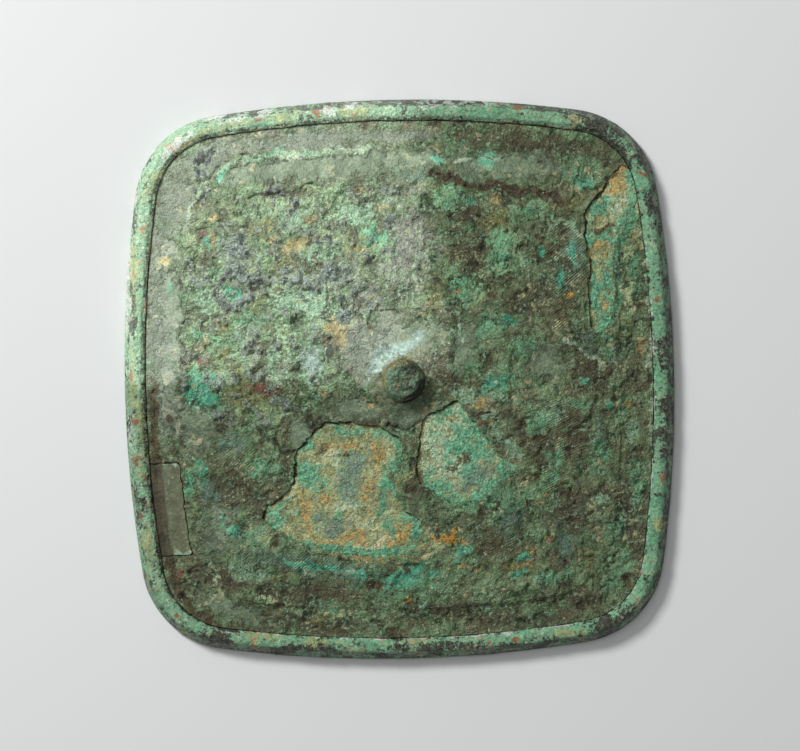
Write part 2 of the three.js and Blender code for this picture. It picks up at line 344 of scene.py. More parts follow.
def summed(tree, start, *parts, use_clamp=False):
    """A starting value with others added to it, each times its share"""
    for number, (value, share) in enumerate(parts, 1):
        clamped = use_clamp and number == len(parts)
        start = calc(tree, "MULTIPLY_ADD", value, share, start, use_clamp=clamped)
    return start


def times(tree, colour, amount):
    """A colour or a size made greater or smaller by an amount"""
    return put(tree, "VectorMath", {0: colour, "Scale": amount}, operation="SCALE").outputs[0]


def mixed(tree, share, under, over):
    """Two colours mixed, by the share of the second"""
    return put(tree, "Mix", {0: share, 6: under, 7: over}, data_type="RGBA").outputs[2]


def new_group(name, inputs, outputs, kind="ShaderNodeTree"):
    """An empty node group. Gives back the group, its inputs to read and the node of its outputs"""
    group = bpy.data.node_groups.new(name, kind)
    kinds = {
        "value": "NodeSocketFloat", "colour": "NodeSocketColor", "vector": "NodeSocketVector",
        "count": "NodeSocketInt", "mesh": "NodeSocketGeometry", "material": "NodeSocketMaterial",
    }
    for way, titles in (("INPUT", inputs), ("OUTPUT", outputs)):
        for title, socket_kind in titles.items():
            group.interface.new_socket(title, in_out=way, socket_type=kinds[socket_kind])
    return group, group.nodes.new("NodeGroupInput").outputs, group.nodes.new("NodeGroupOutput")


# Grain of the corrosion: rolling noise at four sizes, then patches with ragged edges at three sizes,
# each patch with a tone and a hue of its own, then specks, and the relief that goes with it all
grain_values = ("Broad", "Middling", "Fine", "Dust", "Specks", "Patches", "Hue", "Edge", "Relief")
corrosion_grain, given, made = new_group(
    "corrosion_grain", {}, {**dict.fromkeys(grain_values, "value"), "Place": "vector"}
)
tree = corrosion_grain
coordinates = put(tree, "TexCoord", {})
in_millimetres = put(
    tree, "Mapping", {"Vector": coordinates.outputs["Object"], "Scale": (1000, 1000, 1000)}
).outputs[0]
grains = {"Place": in_millimetres}
lumps = {"Broad": (9, 3), "Middling": (2.6, 4), "Fine": (0.95, 3), "Dust": (0.42, 2)}
for title, (lump_size, detail) in lumps.items():
    inputs = {"Vector": in_millimetres, "Scale": 1 / lump_size, "Detail": detail, "Roughness": 0.6}
    grains[title] = summed(tree, -0.4, (put(tree, "TexNoise", inputs).outputs[0], 1.8))
inputs = {"Vector": in_millimetres, "Scale": 0.45, "Detail": 5, "Roughness": 0.62}
sway = put(tree, "TexNoise", inputs).outputs["Color"]
warped = put(
    tree, "VectorMath", {0: sway, 1: (5, 5, 5), 2: in_millimetres}, operation="MULTIPLY_ADD"
).outputs[0]
tone_sum = -0.36
hue_sum = -0.36
for patch_size, tone_part, hue_part in ((5.2, 0.62, 0.66), (2.0, 0.60, 0.58), (0.75, 0.50, 0.48)):
    cells = put(tree, "TexVoronoi", {"Vector": warped, "Scale": 1 / patch_size})
    drawn = put(tree, "SeparateColor", {0: cells.outputs["Color"]}).outputs
    tone_sum = summed(tree, tone_sum, (drawn[0], tone_part))
    hue_sum = summed(tree, hue_sum, (drawn[1], hue_part))
grains["Patches"] = calc(tree, "ADD", tone_sum, 0.0, use_clamp=True)
grains["Hue"] = calc(tree, "ADD", hue_sum, 0.0, use_clamp=True)
grains["Edge"] = summed(
    tree, 0.0, (grains["Patches"], 0.4), (grains["Middling"], 0.3), (grains["Fine"], 0.3)
)
specks = put(tree, "TexVoronoi", {"Vector": warped, "Scale": 1.7}).outputs["Distance"]
grains["Specks"] = summed(tree, 1.4, (specks, -4.5), use_clamp=True)
grit = put(tree, "TexVoronoi", {"Vector": in_millimetres, "Scale": 1.5}).outputs["Distance"]
grit = summed(tree, 1.25, (grit, -1.7))
grains["Dust"] = summed(tree, 0.0, (grains["Dust"], 0.55), (grit, 0.45))
grains["Relief"] = summed(
    tree, grains["Middling"], (grains["Fine"], 0.4), (grains["Dust"], 0.62),
    (grains["Patches"], 0.42), (grains["Specks"], -0.2),
)
feed(tree, made, grains)

# A crust of two colours laid over what is there, with a ragged edge where its mask passes 0.5
crust_layer, given, made = new_group(
    "crust_layer",
    {
        **dict.fromkeys(("Under", "Crust", "Second"), "colour"),
        **dict.fromkeys(("Mask", "Edge Grain", "Ragged", "Sharpness", "Mottle"), "value"),
    },
    {"Color": "colour", "Cover": "value"},
)
tree = crust_layer
edge_shift = calc(tree, "SUBTRACT", given["Edge Grain"], 0.5)
edge_shift = summed(tree, given["Mask"], (edge_shift, given["Ragged"]))
edge_shift = calc(tree, "SUBTRACT", edge_shift, 0.5)
cover = summed(tree, 0.5, (edge_shift, given["Sharpness"]), use_clamp=True)
two_tone = calc(tree, "SUBTRACT", given["Mottle"], 0.5)
two_tone = summed(tree, 0.5, (two_tone, 1.5), use_clamp=True)
crust_colour = mixed(tree, two_tone, given["Crust"], given["Second"])
feed(tree, made, {"Color": mixed(tree, cover, given["Under"], crust_colour), "Cover": cover})

# Painted light on grains that stand proud, and dirt with painted shade where they lie low, over any colour
dirt_and_relief_shading, given, made = new_group(
    "dirt_and_relief_shading",
    {"Color": "colour", **dict.fromkeys(("Fine", "Dust", "Amount", "Level"), "value")},
    {"Color": "colour"},
)
tree = dirt_and_relief_shading
tone = summed(tree, given["Dust"], (given["Fine"], 1.3))
tone = calc(tree, "SUBTRACT", tone, 1.15)
tone = summed(tree, given["Level"], (tone, given["Amount"]))
tone = calc(tree, "MAXIMUM", tone, 0.25)
feed(tree, made, {"Color": times(tree, given["Color"], tone)})

# Painted light: a pale wash over the upper left quarter of the mirror, where the light falls brightest
lit_quarter_right = 11.0
lit_quarter_low = 0.5
lit_quarter_values = ("Broad", "Middling", "Strength")
painted_lit_quarter, given, made = new_group(
    "painted_lit_quarter",
    {"Color": "colour", "Place": "vector", **dict.fromkeys(lit_quarter_values, "value")},
    {"Color": "colour"},
)
tree = painted_lit_quarter
where = put(tree, "SeparateXYZ", {0: given["Place"]}).outputs
sway = calc(tree, "SUBTRACT", given["Broad"], 0.5)
sway = summed(tree, sway, (calc(tree, "SUBTRACT", given["Middling"], 0.5), 0.5))
from_right = summed(tree, where[0], (sway, 14.0), (where[1], 0.06))
right_share = calc(tree, "SUBTRACT", lit_quarter_right, from_right)
right_share = summed(tree, 0.5, (right_share, 0.22), use_clamp=True)
low_share = calc(tree, "SUBTRACT", summed(tree, where[1], (sway, 12.0)), lit_quarter_low)
low_share = summed(tree, 0.5, (low_share, 0.25), use_clamp=True)
lit_share = calc(tree, "MULTIPLY", right_share, low_share)
lit_share = calc(tree, "MULTIPLY", lit_share, given["Strength"])
lightened = mixed(tree, 0.28, times(tree, given["Color"], 2.25), paint("#B2BEAE"))
feed(tree, made, {"Color": mixed(tree, lit_share, given["Color"], lightened)})

# Parallel file marks, at a turn in the plane of the mirror
file_marks, given, made = new_group(
    "file_marks", {"Place": "vector", "Turn": "value"}, {"Lines": "value"}
)
tree = file_marks
turned = put(
    tree, "VectorRotate", {0: given["Place"], "Angle": given["Turn"]}, rotation_type="Z_AXIS"
).outputs[0]
bands = {"Vector": turned, "Scale": 0.5, "Distortion": 3.0, "Detail": 3.0, "Detail Scale": 0.3}
feed(tree, made, {"Lines": put(tree, "TexWave", bands).outputs[1]})


def toned(tree, share, *codes):
    """Colours in a row, from the darkest to the palest, chosen by a value from 0 to 1"""
    row = put(tree, "ValToRGB", {0: share})
    stops = row.color_ramp.elements
    for number in range(1, len(codes) - 1):
        stops.new(number / (len(codes) - 1))
    for stop, code in zip(stops, codes):
        stop.color = paint(code)
    return row.outputs[0]


def new_material(name):
    """A material with its grain. Gives back the material, its tree, its shader and the grain"""
    material = bpy.data.materials.new(name)
    material.use_nodes = True
    tree = material.node_tree
    grain = put(tree, "Group", {}, node_tree=corrosion_grain).outputs
    return material, tree, tree.nodes["Principled BSDF"], grain


def masks_of(tree, names):
    """The masks kept on a piece, by name, for its material to read"""
    names = list(names)
    masks = {}
    for start in range(0, len(names), 3):
        attribute = put(tree, "Attribute", {}, attribute_name=f"masks_{start // 3}")
        channels = put(tree, "SeparateColor", {0: attribute.outputs["Color"]}).outputs
        masks.update(zip(names[start:start + 3], channels))
    return masks


def laid_over(tree, colour, grain, layers):
    """Crust layers, one over another. Each row: two colours, mask, raggedness and sharpness, and
    the grains that break its edge and mottle it. Gives back the colour and the layers' covers"""
    covers = {}
    for name, (crust, second, mask, raggedness, sharpness, *grains_used) in layers.items():
        edge, mottle = grains_used or ("Edge", "Patches")
        inputs = {
            "Under": colour, "Crust": paint(crust), "Second": paint(second), "Mask": mask,
            "Edge Grain": grain[edge], "Mottle": grain[mottle], "Ragged": raggedness,
            "Sharpness": sharpness,
        }
        colour, covers[name] = put(tree, "Group", inputs, node_tree=crust_layer).outputs
    return colour, covers


def with_dirt_and_relief_shading(tree, colour, grain, amount, level=1.0):
    """A colour with painted light on its raised grains and dirt with painted shade in its low ones"""
    inputs = {"Color": colour, "Amount": amount, "Level": level}
    inputs.update((name, grain[name]) for name in ("Fine", "Dust"))
    return put(tree, "Group", inputs, node_tree=dirt_and_relief_shading).outputs[0]


def with_painted_lit_quarter(tree, colour, grain, strength):
    """A colour with the painted light of the upper left quarter over it"""
    inputs = {"Color": colour, "Strength": strength}
    inputs.update((name, grain[name]) for name in ("Place", "Broad", "Middling"))
    return put(tree, "Group", inputs, node_tree=painted_lit_quarter).outputs[0]


def finish_patina(tree, shader, colour, relief, depth, strength, roughness, metallic=0.0):
    """Leads colour, relief with its depth in millimetres, roughness and metal to the shader"""
    heights = {"Height": relief, "Distance": depth * MILLIMETRE, "Strength": strength}
    normal = put(tree, "Bump", heights).outputs[0]
    inputs = {"Base Color": colour, "Roughness": roughness, "Metallic": metallic, "Normal": normal}
    feed(tree, shader, inputs)


rim_patina, tree, shader, grain = new_material("rim_patina")
masks = masks_of(tree, rim_masks)
colour = toned(tree, grain["Edge"], "#24251E", "#3A3B31", "#56594B", "#7A7F72")
bevel_mask = calc(tree, "MULTIPLY", masks["outer edge"], 0.5)
pore_mask = summed(tree, 0.5, (grain["Middling"], -0.5))
colour, covers = laid_over(tree, colour, grain, {
    "bevel": ("#8C9289", "#6A7465", bevel_mask, 2.2, 4.0),
    "mint": ("#769B79", "#A6C4A3", masks["crust"], 1.7, 5.0, "Edge", "Fine"),
    "pores": ("#4E6048", "#6B7A60", pore_mask, 1.7, 4.0, "Dust", "Fine"),
})
mint_cover = covers["mint"]
green_mask = summed(
    tree, 0.0, (mint_cover, 0.14), (grain["Hue"], 0.5), (masks["greening"], mint_cover)
)
speck_mask = calc(tree, "MULTIPLY", grain["Specks"], 0.62)
shaded_wall_lightening = calc(tree, "MULTIPLY", masks["groove"], 0.8)
colour = laid_over(tree, colour, grain, {
    "green": ("#578F6E", "#7FB28B", green_mask, 1.6, 3.0),
    "yellow": ("#7B8F64", "#A2AC79", masks["yellow"], 2.0, 4.0),
    # Pale crust, with painted glints and painted highlights on the rim's lit edges
    "pale": ("#98A396", "#BFC6BC", masks["pale"], 2.0, 5.0),
    "specks": ("#3C3E31", "#57573F", speck_mask, 1.2, 6.0, "Middling", "Patches"),
    # Painted light in the shade of the inner wall on the side turned from the lamp
    "groove": ("#7E7B64", "#A09F88", shaded_wall_lightening, 1.8, 3.0),
    "rust": ("#70503A", "#94694A", masks["rust"], 2.2, 4.0),
})[0]
colour = with_dirt_and_relief_shading(tree, colour, grain, 0.5)
finish_patina(
    tree, shader, with_painted_lit_quarter(tree, colour, grain, 0.8), grain["Relief"], 0.4, 0.9,
    roughness=summed(tree, 0.48, (mint_cover, 0.32)),
    metallic=summed(tree, 0.25, (mint_cover, -0.25), use_clamp=True),
)
rim.data.materials.append(rim_patina)
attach(rim, "root")
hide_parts("rim_frame")


# The reflecting plate: a thin high-tin plate let into the frame's face and once polished to
# reflect. It has gone to a smooth dark silvery skin, with green growths in from its edge.
face_patina, tree, shader, grain = new_material("face_patina")
silver_share = summed(tree, -1.5, (grain["Broad"], 4.0), use_clamp=True)
colour = mixed(tree, silver_share, paint("#4B4E4A"), paint("#7B807A"))
face_place = put(tree, "SeparateXYZ", {0: grain["Place"]}).outputs
growth_mask = summed(tree, -1.12, (grain["Broad"], 1.4))
for side, half_size in ((face_place[0], 69.0), (face_place[1], 70.0)):
    near_edge = calc(tree, "DIVIDE", calc(tree, "ABSOLUTE", side), half_size)
    growth_mask = summed(tree, growth_mask, (calc(tree, "POWER", near_edge, 5.0), 0.42))
clouds = {"Vector": grain["Place"], "Scale": 0.034, "Detail": 2.0, "Roughness": 0.5}
growth_mask = summed(tree, growth_mask, (put(tree, "TexNoise", clouds).outputs[0], 1.15))
stain_mask = calc(tree, "ADD", growth_mask, 0.16)
speck_mask = calc(tree, "MULTIPLY", grain["Specks"], 0.55)
colour, covers = laid_over(tree, colour, grain, {
    "stains": ("#4F4636", "#77684A", stain_mask, 1.0, 2.0, "Edge", "Middling"),
    "growths": ("#5E8F72", "#7FA98C", growth_mask, 1.2, 6.0),
    "specks": ("#2F312C", "#3B3A30", speck_mask, 1.2, 6.0, "Broad", "Patches"),
})
growth_cover = covers["growths"]
face_relief = calc(tree, "MULTIPLY", grain["Relief"], growth_cover)
finish_patina(
    tree, shader, with_dirt_and_relief_shading(tree, colour, grain, 0.25), face_relief, 0.2, 0.6,
    roughness=summed(tree, 0.24, (growth_cover, 0.5)),
    metallic=summed(tree, 0.8, (growth_cover, -0.8), use_clamp=True),
)
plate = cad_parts["reflecting_plate"]
plate.data.materials.clear()
plate.data.materials.append(face_patina)


# The bedding: lacquer and ash paste, laid wet on the plate to carry the back sheet. It shows where
# the sheet has broken away, swollen up in the breaks, and is stained ochre and green.
sheet_thickness = 1.2
side_border_width = 9.0
end_border_width = 8.1
border_rise = 0.8
field_step = 0.5
field_step_width = 0.6
field_corner_radius = 21.0
dome_rise = 4.3
dome_fullness = 1.7
collar_centre = (2.5, 0.5)
collar_radius = 12.0
collar_rise = 2.2
collar_flare = 1.8
collar_seat_margin = 0.7
knob_centre = (1.0, -0.5)
knob_radius = 6.0
tenon_radius = 3.2
fill_depth = 0.6
sheet_inset = shelf_inset + 0.03
bed_inset = ledge_inset + clearance
border_top = ledge_top + sheet_thickness
dome_edge = border_top + border_rise + field_step
dome_top = dome_edge + dome_rise
collar_top = dome_top + collar_rise
field_width = mirror_width - 2 * (shelf_inset + side_border_width)
field_height = mirror_height - 2 * (shelf_inset + end_border_width)
seat_radius = knob_radius + collar_seat_margin

# The back is woven from square rings of places, from the knob out. Each row: ring number, the
# ring's width, height, side arc and corner arc, and its centre.
seat_ring = 13
collar_ring = 24
field_ring = 119
step_ring = 121
bed_ring = 134
last_ring = 138
step_outline = (
    field_width + 2 * field_step_width, field_height + 2 * field_step_width,
    side_arc_radius + field_step_width, field_corner_radius + field_step_width,
)
ring_stations = np.array([
    (0, 0, 0, side_arc_radius, 0, *knob_centre),
    (seat_ring, 2 * seat_radius, 2 * seat_radius, side_arc_radius, seat_radius, *knob_centre),
    (collar_ring, 2 * collar_radius, 2 * collar_radius, side_arc_radius, collar_radius, *collar_centre),
    (field_ring, field_width, field_height, side_arc_radius, field_corner_radius, 0, 0),
    (step_ring, *step_outline, 0, 0),
    *(
        (
            ring, mirror_width - 2 * inset, mirror_height - 2 * inset,
            side_arc_radius - inset, corner_radius - inset, 0, 0,
        )
        for ring, inset in ((bed_ring, bed_inset), (last_ring, sheet_inset))
    ),
])


def reach_to_circle(east, north, arc):
    """Distance from the origin to the far side of a circle, along a unit direction"""
    along = east * arc[0] + north * arc[1]
    return along + np.sqrt(np.maximum(along ** 2 - arc[0] ** 2 - arc[1] ** 2 + arc[2] ** 2, 0))


def reach(outline, east, north):
    """Distance from an outline's centre to its edge, along a unit direction"""
    east = np.abs(east)
    north = np.abs(north)
    to_side = reach_to_circle(east, north, outline["side"])
    to_top = reach_to_circle(east, north, outline["top"])
    to_corner = reach_to_circle(east, north, outline["corner"])
    side_turn = np.arctan2(north * to_side, east * to_side - outline["side"][0])
    top_turn = np.arctan2(east * to_top, north * to_top - outline["top"][1])
    on_side = side_turn <= outline["side_end"]
    on_top = top_turn <= outline["top_end"]
    return np.where(on_side, to_side, np.where(on_top, to_top, to_corner))


def ring_numbers(rings):
    """Column, row and ring number of every place of a square weave"""
    column, row = np.meshgrid(np.arange(-rings, rings + 1), np.arange(-rings, rings + 1))
    return column, row, np.maximum(np.abs(column), np.abs(row))


def back_weave(rings):
    """Places of the sheet's plain back, as it was cast, on a square weave of that many rings"""
    column, row, ring = ring_numbers(rings)
    length = np.maximum(np.hypot(column, row), 1e-9)
    width, height, side_arc, corner, centre_x, centre_y = (
        np.interp(ring, ring_stations[:, 0], ring_stations[:, part]) for part in range(1, 7)
    )
    outline = rounded_square(width, height, side_arc, corner)
    distance = reach(outline, column / length, row / length)
    x = centre_x + distance * column / length
    y = centre_y + distance * row / length
    flare = np.clip((collar_ring - ring) / (collar_ring - seat_ring), 0, 1)
    dome = np.clip((ring - collar_ring) / (field_ring - collar_ring), 0, 1)
    z = dome_edge + dome_rise * (1 - dome ** dome_fullness) + collar_rise * flare ** collar_flare
    z = z - field_step * np.clip((ring - field_ring) / (step_ring - field_ring), 0, 1)
    z = z - border_rise * np.clip((ring - step_ring) / (bed_ring - step_ring), 0, 1)
    return x, y, z


def slab(name, x, y, top, bottom):
    """A closed slab on a square weave, with every second place on its underside"""
    side = x.shape[0]
    number = np.arange(side * side).reshape(side, side)
    half = (side + 1) // 2
    under = side * side + np.arange(half * half).reshape(half, half)
    upper_places = np.column_stack((x.ravel(), y.ravel(), top.ravel()))
    lower_places = np.column_stack(
        (x[::2, ::2].ravel(), y[::2, ::2].ravel(), bottom[::2, ::2].ravel())
    )
    faces = []
    for numbers, order in ((number, (0, 1, 2, 3)), (under, (0, 3, 2, 1))):
        corners = (numbers[:-1, :-1], numbers[:-1, 1:], numbers[1:, 1:], numbers[1:, :-1])
        faces += np.column_stack([corners[corner].ravel() for corner in order]).tolist()
    for edge in (np.s_[0, :], np.s_[:, -1], np.s_[-1, ::-1], np.s_[::-1, 0]):
        upper, lower = number[edge], under[edge]
        for step in range(half - 1):
            faces.append([
                upper[2 * step], lower[step], lower[step + 1], upper[2 * step + 2], upper[2 * step + 1],
            ])
    return new_piece(name, np.concatenate((upper_places, lower_places)), faces)


def smooth_loop(corners, steps=14):
    """A smooth closed line through points"""
    points = np.array(corners, float)
    before = np.roll(points, 1, axis=0)
    after = np.roll(points, -1, axis=0)
    beyond = np.roll(points, -2, axis=0)
    shares = (np.arange(steps) / steps)[None, :, None]
    before, points, after, beyond = (part[:, None, :] for part in (before, points, after, beyond))
    curve = points + 0.5 * shares * (
        after - before
        + shares * (2 * before - 5 * points + 4 * after - beyond)
        + shares ** 2 * (3 * points - before - 3 * after + beyond)
    )
    return curve.reshape(-1, 2)


def ragged(loop, amount, size, seed):
    """A line broken unevenly by an amount, in lumps of about a size"""
    flat = np.column_stack((loop, np.zeros(len(loop))))
    return moved_unevenly(flat, amount, size, 3, seed)[:, :2]


def distance_to_line(places, line, closed=False):
    """How far places lie from a line of straight stretches"""
    starts = np.array(line, float)
    ends = np.roll(starts, -1, axis=0)
    if not closed:
        starts, ends = starts[:-1], ends[:-1]
    nearest = np.full(len(places), 1e9)
    for start, end in zip(starts, ends):
        along = end - start
        offset = places[:, :2] - start
        share = np.clip(offset @ along / max(along @ along, 1e-9), 0, 1)
        nearest = np.minimum(nearest, np.hypot(*(offset - share[:, None] * along).T))
    return nearest


def depth_inside(places, loop):
    """How far places lie inside a closed line, less than 0 outside it"""
    inside = np.zeros(len(places), bool)
    x, y = places[:, 0], places[:, 1]
    for (x1, y1), (x2, y2) in zip(loop, np.roll(loop, -1, axis=0)):
        spans = (y1 > y) != (y2 > y)
        crossing = x1 + (y - y1) * (x2 - x1) / (y2 - y1 if y2 != y1 else 1e-9)
        inside ^= spans & (x < crossing)
    distance = distance_to_line(places, loop, closed=True)
    return np.where(inside, distance, -distance)


lower_break = ragged(smooth_loop([
    (-38, -35.5), (-30.5, -29.5), (-28.5, -20), (-23, -13), (-18, -11), (-10, -12), (-4.5, -13.5),
    (0.5, -17.5), (-1.5, -27), (0, -34.5), (5.5, -40), (0.5, -47.5), (-17, -47), (-32, -42),
]), 0.5, 2.2, 11)
middle_break = ragged(smooth_loop([
    (15.5, -6), (11, -8.5), (6.5, -11), (4.5, -20), (5, -28), (13.5, -33.5), (22, -32.5),
    (28, -25), (24, -18), (19, -11),
]), 0.42, 2.2, 13)
corner_break = ragged(smooth_loop([
    (mirror_width / 2 - across, mirror_height / 2 - down) for across, down in (
        (13.5, 18.8), (19, 25.8), (24, 32.8), (23, 45.3), (23, 62.3), (19, 63.8), (16, 55.8),
        (15.5, 41.3), (10.5, 31.3), (10.5, 23.3),
    )
]), 0.4, 2.2, 15)
breaks = (lower_break, middle_break, corner_break)

weave_x, weave_y, plain_z = back_weave(last_ring)
weave_places = np.column_stack((weave_x.ravel(), weave_y.ravel(), np.zeros(weave_x.size)))
inner = slice(last_ring - bed_ring, last_ring + bed_ring + 1, 2)
bed_x, bed_y, bed_plain = (part[inner, inner] for part in (weave_x, weave_y, plain_z))
bed_top = bed_plain - sheet_thickness - clearance
bed = slab("bedding_paste_bed", bed_x, bed_y, bed_top, np.full(bed_x.shape, plate_thickness))

# The paste stands higher towards the lower right of each break, where it meets the sheet's surface
swelling_lift = 0.55 * ramp(weave_places[:, 1] - 0.25 * weave_places[:, 0], -24, -40)
lift_right = 0.55 * ramp(weave_places[:, 0] - 0.8 * weave_places[:, 1], 17, 42)
lift_corner = 0.55 * ramp(weave_places[:, 0] - 0.1 * weave_places[:, 1], 51, 60)
swelling_lift = np.where(weave_places[:, 0] > 2, lift_right, swelling_lift)
swelling_lift = np.where(weave_places[:, 1] > 5, lift_corner, swelling_lift)
swelling_relief = lumpy(weave_places, (0.16, 3.4, 4, 21), (0.13, 1.2, 3, 22))
swelling_relief -= 0.3 * ramp(unevenness(weave_places, 2.6, 2, seed=23), 0.35, 0.7)
upper_left_reach = np.array((-0.7, 0.7, 0))


def inside_upper_left_edges(places):
    """1 close inside the upper left edges of the breaks, where the sheet's edge shades the paste"""
    flat = places * (1, 1, 0)
    reached = 0.45 + 0.65 * unevenness(flat, 3.5, 2, seed=24)[:, None]
    depths = [depth_inside(flat + upper_left_reach * reached, outline) for outline in breaks]
    return ramp(-np.max(depths, axis=0), -0.3, 0.5)


swelling_relief -= 0.4 * inside_upper_left_edges(weave_places)
swelling_top = plain_z - fill_depth + (swelling_lift + swelling_relief).reshape(plain_z.shape)
swelling_bottom = np.full(plain_z.shape, ledge_top)
cutter_height = 30.0


def prism(name, loop):
    """An upright solid, taller than the mirror, to cut with"""
    count = len(loop)
    turn = np.cross(loop, np.roll(loop, -1, axis=0)).sum()
    loop = loop if turn > 0 else loop[::-1]
    places = np.concatenate([np.column_stack((loop, np.full(count, z))) for z in (0, cutter_height)])
    faces = [list(range(count))[::-1], list(range(count, 2 * count))]
    for start in range(count):
        end = (start + 1) % count
        faces.append([start, end, count + end, count + start])
    return new_piece(name, places, faces)


def make_plain(piece):
    """Turns a piece with its modifiers into a plain mesh"""
    evaluated = piece.evaluated_get(bpy.context.evaluated_depsgraph_get())
    mesh = bpy.data.meshes.new_from_object(evaluated)
    piece.modifiers.clear()
    piece.data = mesh


def cut(piece, cutter, operation="DIFFERENCE"):
    """Cuts a piece with a solid, which is then taken away"""
    modifier = piece.modifiers.new("cut", "BOOLEAN")
    modifier.solver = "MANIFOLD"
    modifier.operation = operation
    modifier.object = cutter
    make_plain(piece)
    piece.data.materials.clear()
    piece.data.set_sharp_from_angle(angle=math.radians(65))
    bpy.data.objects.remove(cutter)


def tenon_cutter():
    """The round hole in paste and sheet that the knob's tenon stands in"""
    turns = np.linspace(0, 2 * math.pi, 49)[:-1]
    ring = np.column_stack((np.cos(turns), np.sin(turns))) * (tenon_radius + clearance)
    return prism("tenon_cutter", ring + knob_centre)


cut(bed, tenon_cutter())
for outline in breaks:
    swelling = slab("swelling", weave_x, weave_y, swelling_top, swelling_bottom)
    cut(swelling, prism("break_cutter", outline), "INTERSECT")
    cut(bed, swelling, "UNION")

# Stains and growths on the paste: place, half length, half width and turn, as on the frame
paste_green = [
    (-27, -24.5, 3.2, 7, 55), (-4.6, -31, 2.2, 6.5, -10), (18, -19, 6, 7, 20), (-34, -36, 4, 3, 30),
    (-13, -14, 9, 1.7), (-20, -46, 9, 1.5, -8), (-26, -17, 2, 3, -40), (-17, -37, 1.3, 1),
    (2, -38, 3, 2), (-4, -41, 1.5, 1), (9, -29, 4, 3, -30), (11, -10, 3, 1.4, 35),
    (54.5, 44.5, 3.4, 2.4, 55), (52, 38, 1.6, 4), (57, 38.5, 4, 1.6), (58.6, 29, 1.4, 8, 4),
    (53.4, 21, 1.5, 8, 4), (58.2, 20, 1.5, 7), (56.5, 25, 1.6, 7, 2), (55.5, 14.5, 2.8, 2.4, 20),
    (66, 50, 0.8, 3),
]
paste_blue_grey = [
    (-12.5, -22, 3, 3.6), (-13.5, -28, 4, 4.6), (-18, -40, 4.4, 2.4, 15), (-22, -37.5, 2.2, 1.6),
    (-8, -18.5, 1.5, 1.2), (21, -27, 6, 4.2, 20), (62, 40, 1.6, 1.2),
]
paste_ochre = [
    (-6, -20, 1.6, 5, 8), (-9, -30, 1.3, 3.4, -20), (-26, -36, 1.4, 5, -8), (0, -42, 3.2, 4.6, 20),
    (-13, -42.5, 3.2, 1.8, 10), (-14.5, -17, 3.4, 1.1), (-20.5, -17.5, 1.7, 1.2, 30),
    (-9, -36.5, 3, 1.3, 30), (-21, -31, 1.6, 3, 20), (-20, -43.8, 4, 1.1, -12), (61, 54, 4.2, 2.8, 65),
    (59.5, 50.5, 1.6, 1.3), (62, 46.5, 1.7, 1), (54.4, 35.4, 2.2, 4.2), (54.5, 42, 1.2, 1),
    (5, -18, 0.5, 6, -4), (57.5, 43.5, 1, 0.7), (55.6, 24.5, 0.9, 4.2, 3),
]
paste_cream = [
    (61, 46, 4.2, 4.6), (60.5, 53.5, 3, 2, -40), (14, -19, 10, 14, 20), (-15, -33.5, 4, 1.6),
    (-17, -22, 1.6, 4), (-11, -39, 3, 1.4), (-24, -40.5, 1.5, 1.5),
]
paste_orange = [
    (-27, -33, 0.6, 2.2), (-5.2, -22, 0.6, 2, 10), (-1, -44, 1.2, 0.9), (56, 34, 0.9, 1.8),
    (-24.5, -41.4, 1.5, 0.6, -30), (2, -39, 1, 0.8), (55.8, 18, 0.5, 2),
]
paste_dark = [
    (1.5, -28, 3, 6), (-15, -20.6, 1.2, 0.7), (-22, -19, 1, 1.6, -30), (17, -22, 2.2, 1.2, 20),
    (58.6, 40.4, 2.2, 0.5, 10), (54.6, 39.4, 1.3, 0.6), (14, -24.5, 1.2, 0.8),
]
beside_reach = np.array((-2.2, 2.2, 0))
places = places_of(bed)
inside_edges = [depth_inside(places * (1, 1, 0) - beside_reach, outline) for outline in breaks]
overgrown = ramp(np.max(inside_edges, axis=0), 0.9, -1.2)
strayed = moved_unevenly(places, 0.8, 3.2, 3, 31)
patchy = 0.12 * unevenness(places, 1.8, 3, seed=34)
paste_masks = {
    "green": np.maximum(grown(strayed, paste_green), 0.74 * overgrown) + patchy,
    "blue grey": grown(strayed, paste_blue_grey) + patchy,
    "cream": grown(strayed, paste_cream) + patchy,
    "ochre": grown(strayed, paste_ochre) - patchy,
    "orange": grown(strayed, paste_orange) + patchy,
    # Painted shadow: the paste just inside the breaks' upper left edges is painted dark, along with dark
    # stains
    "dark": np.maximum(grown(strayed, paste_dark) - patchy, 1.1 * inside_upper_left_edges(places)),
}
store_masks(bed, paste_masks)

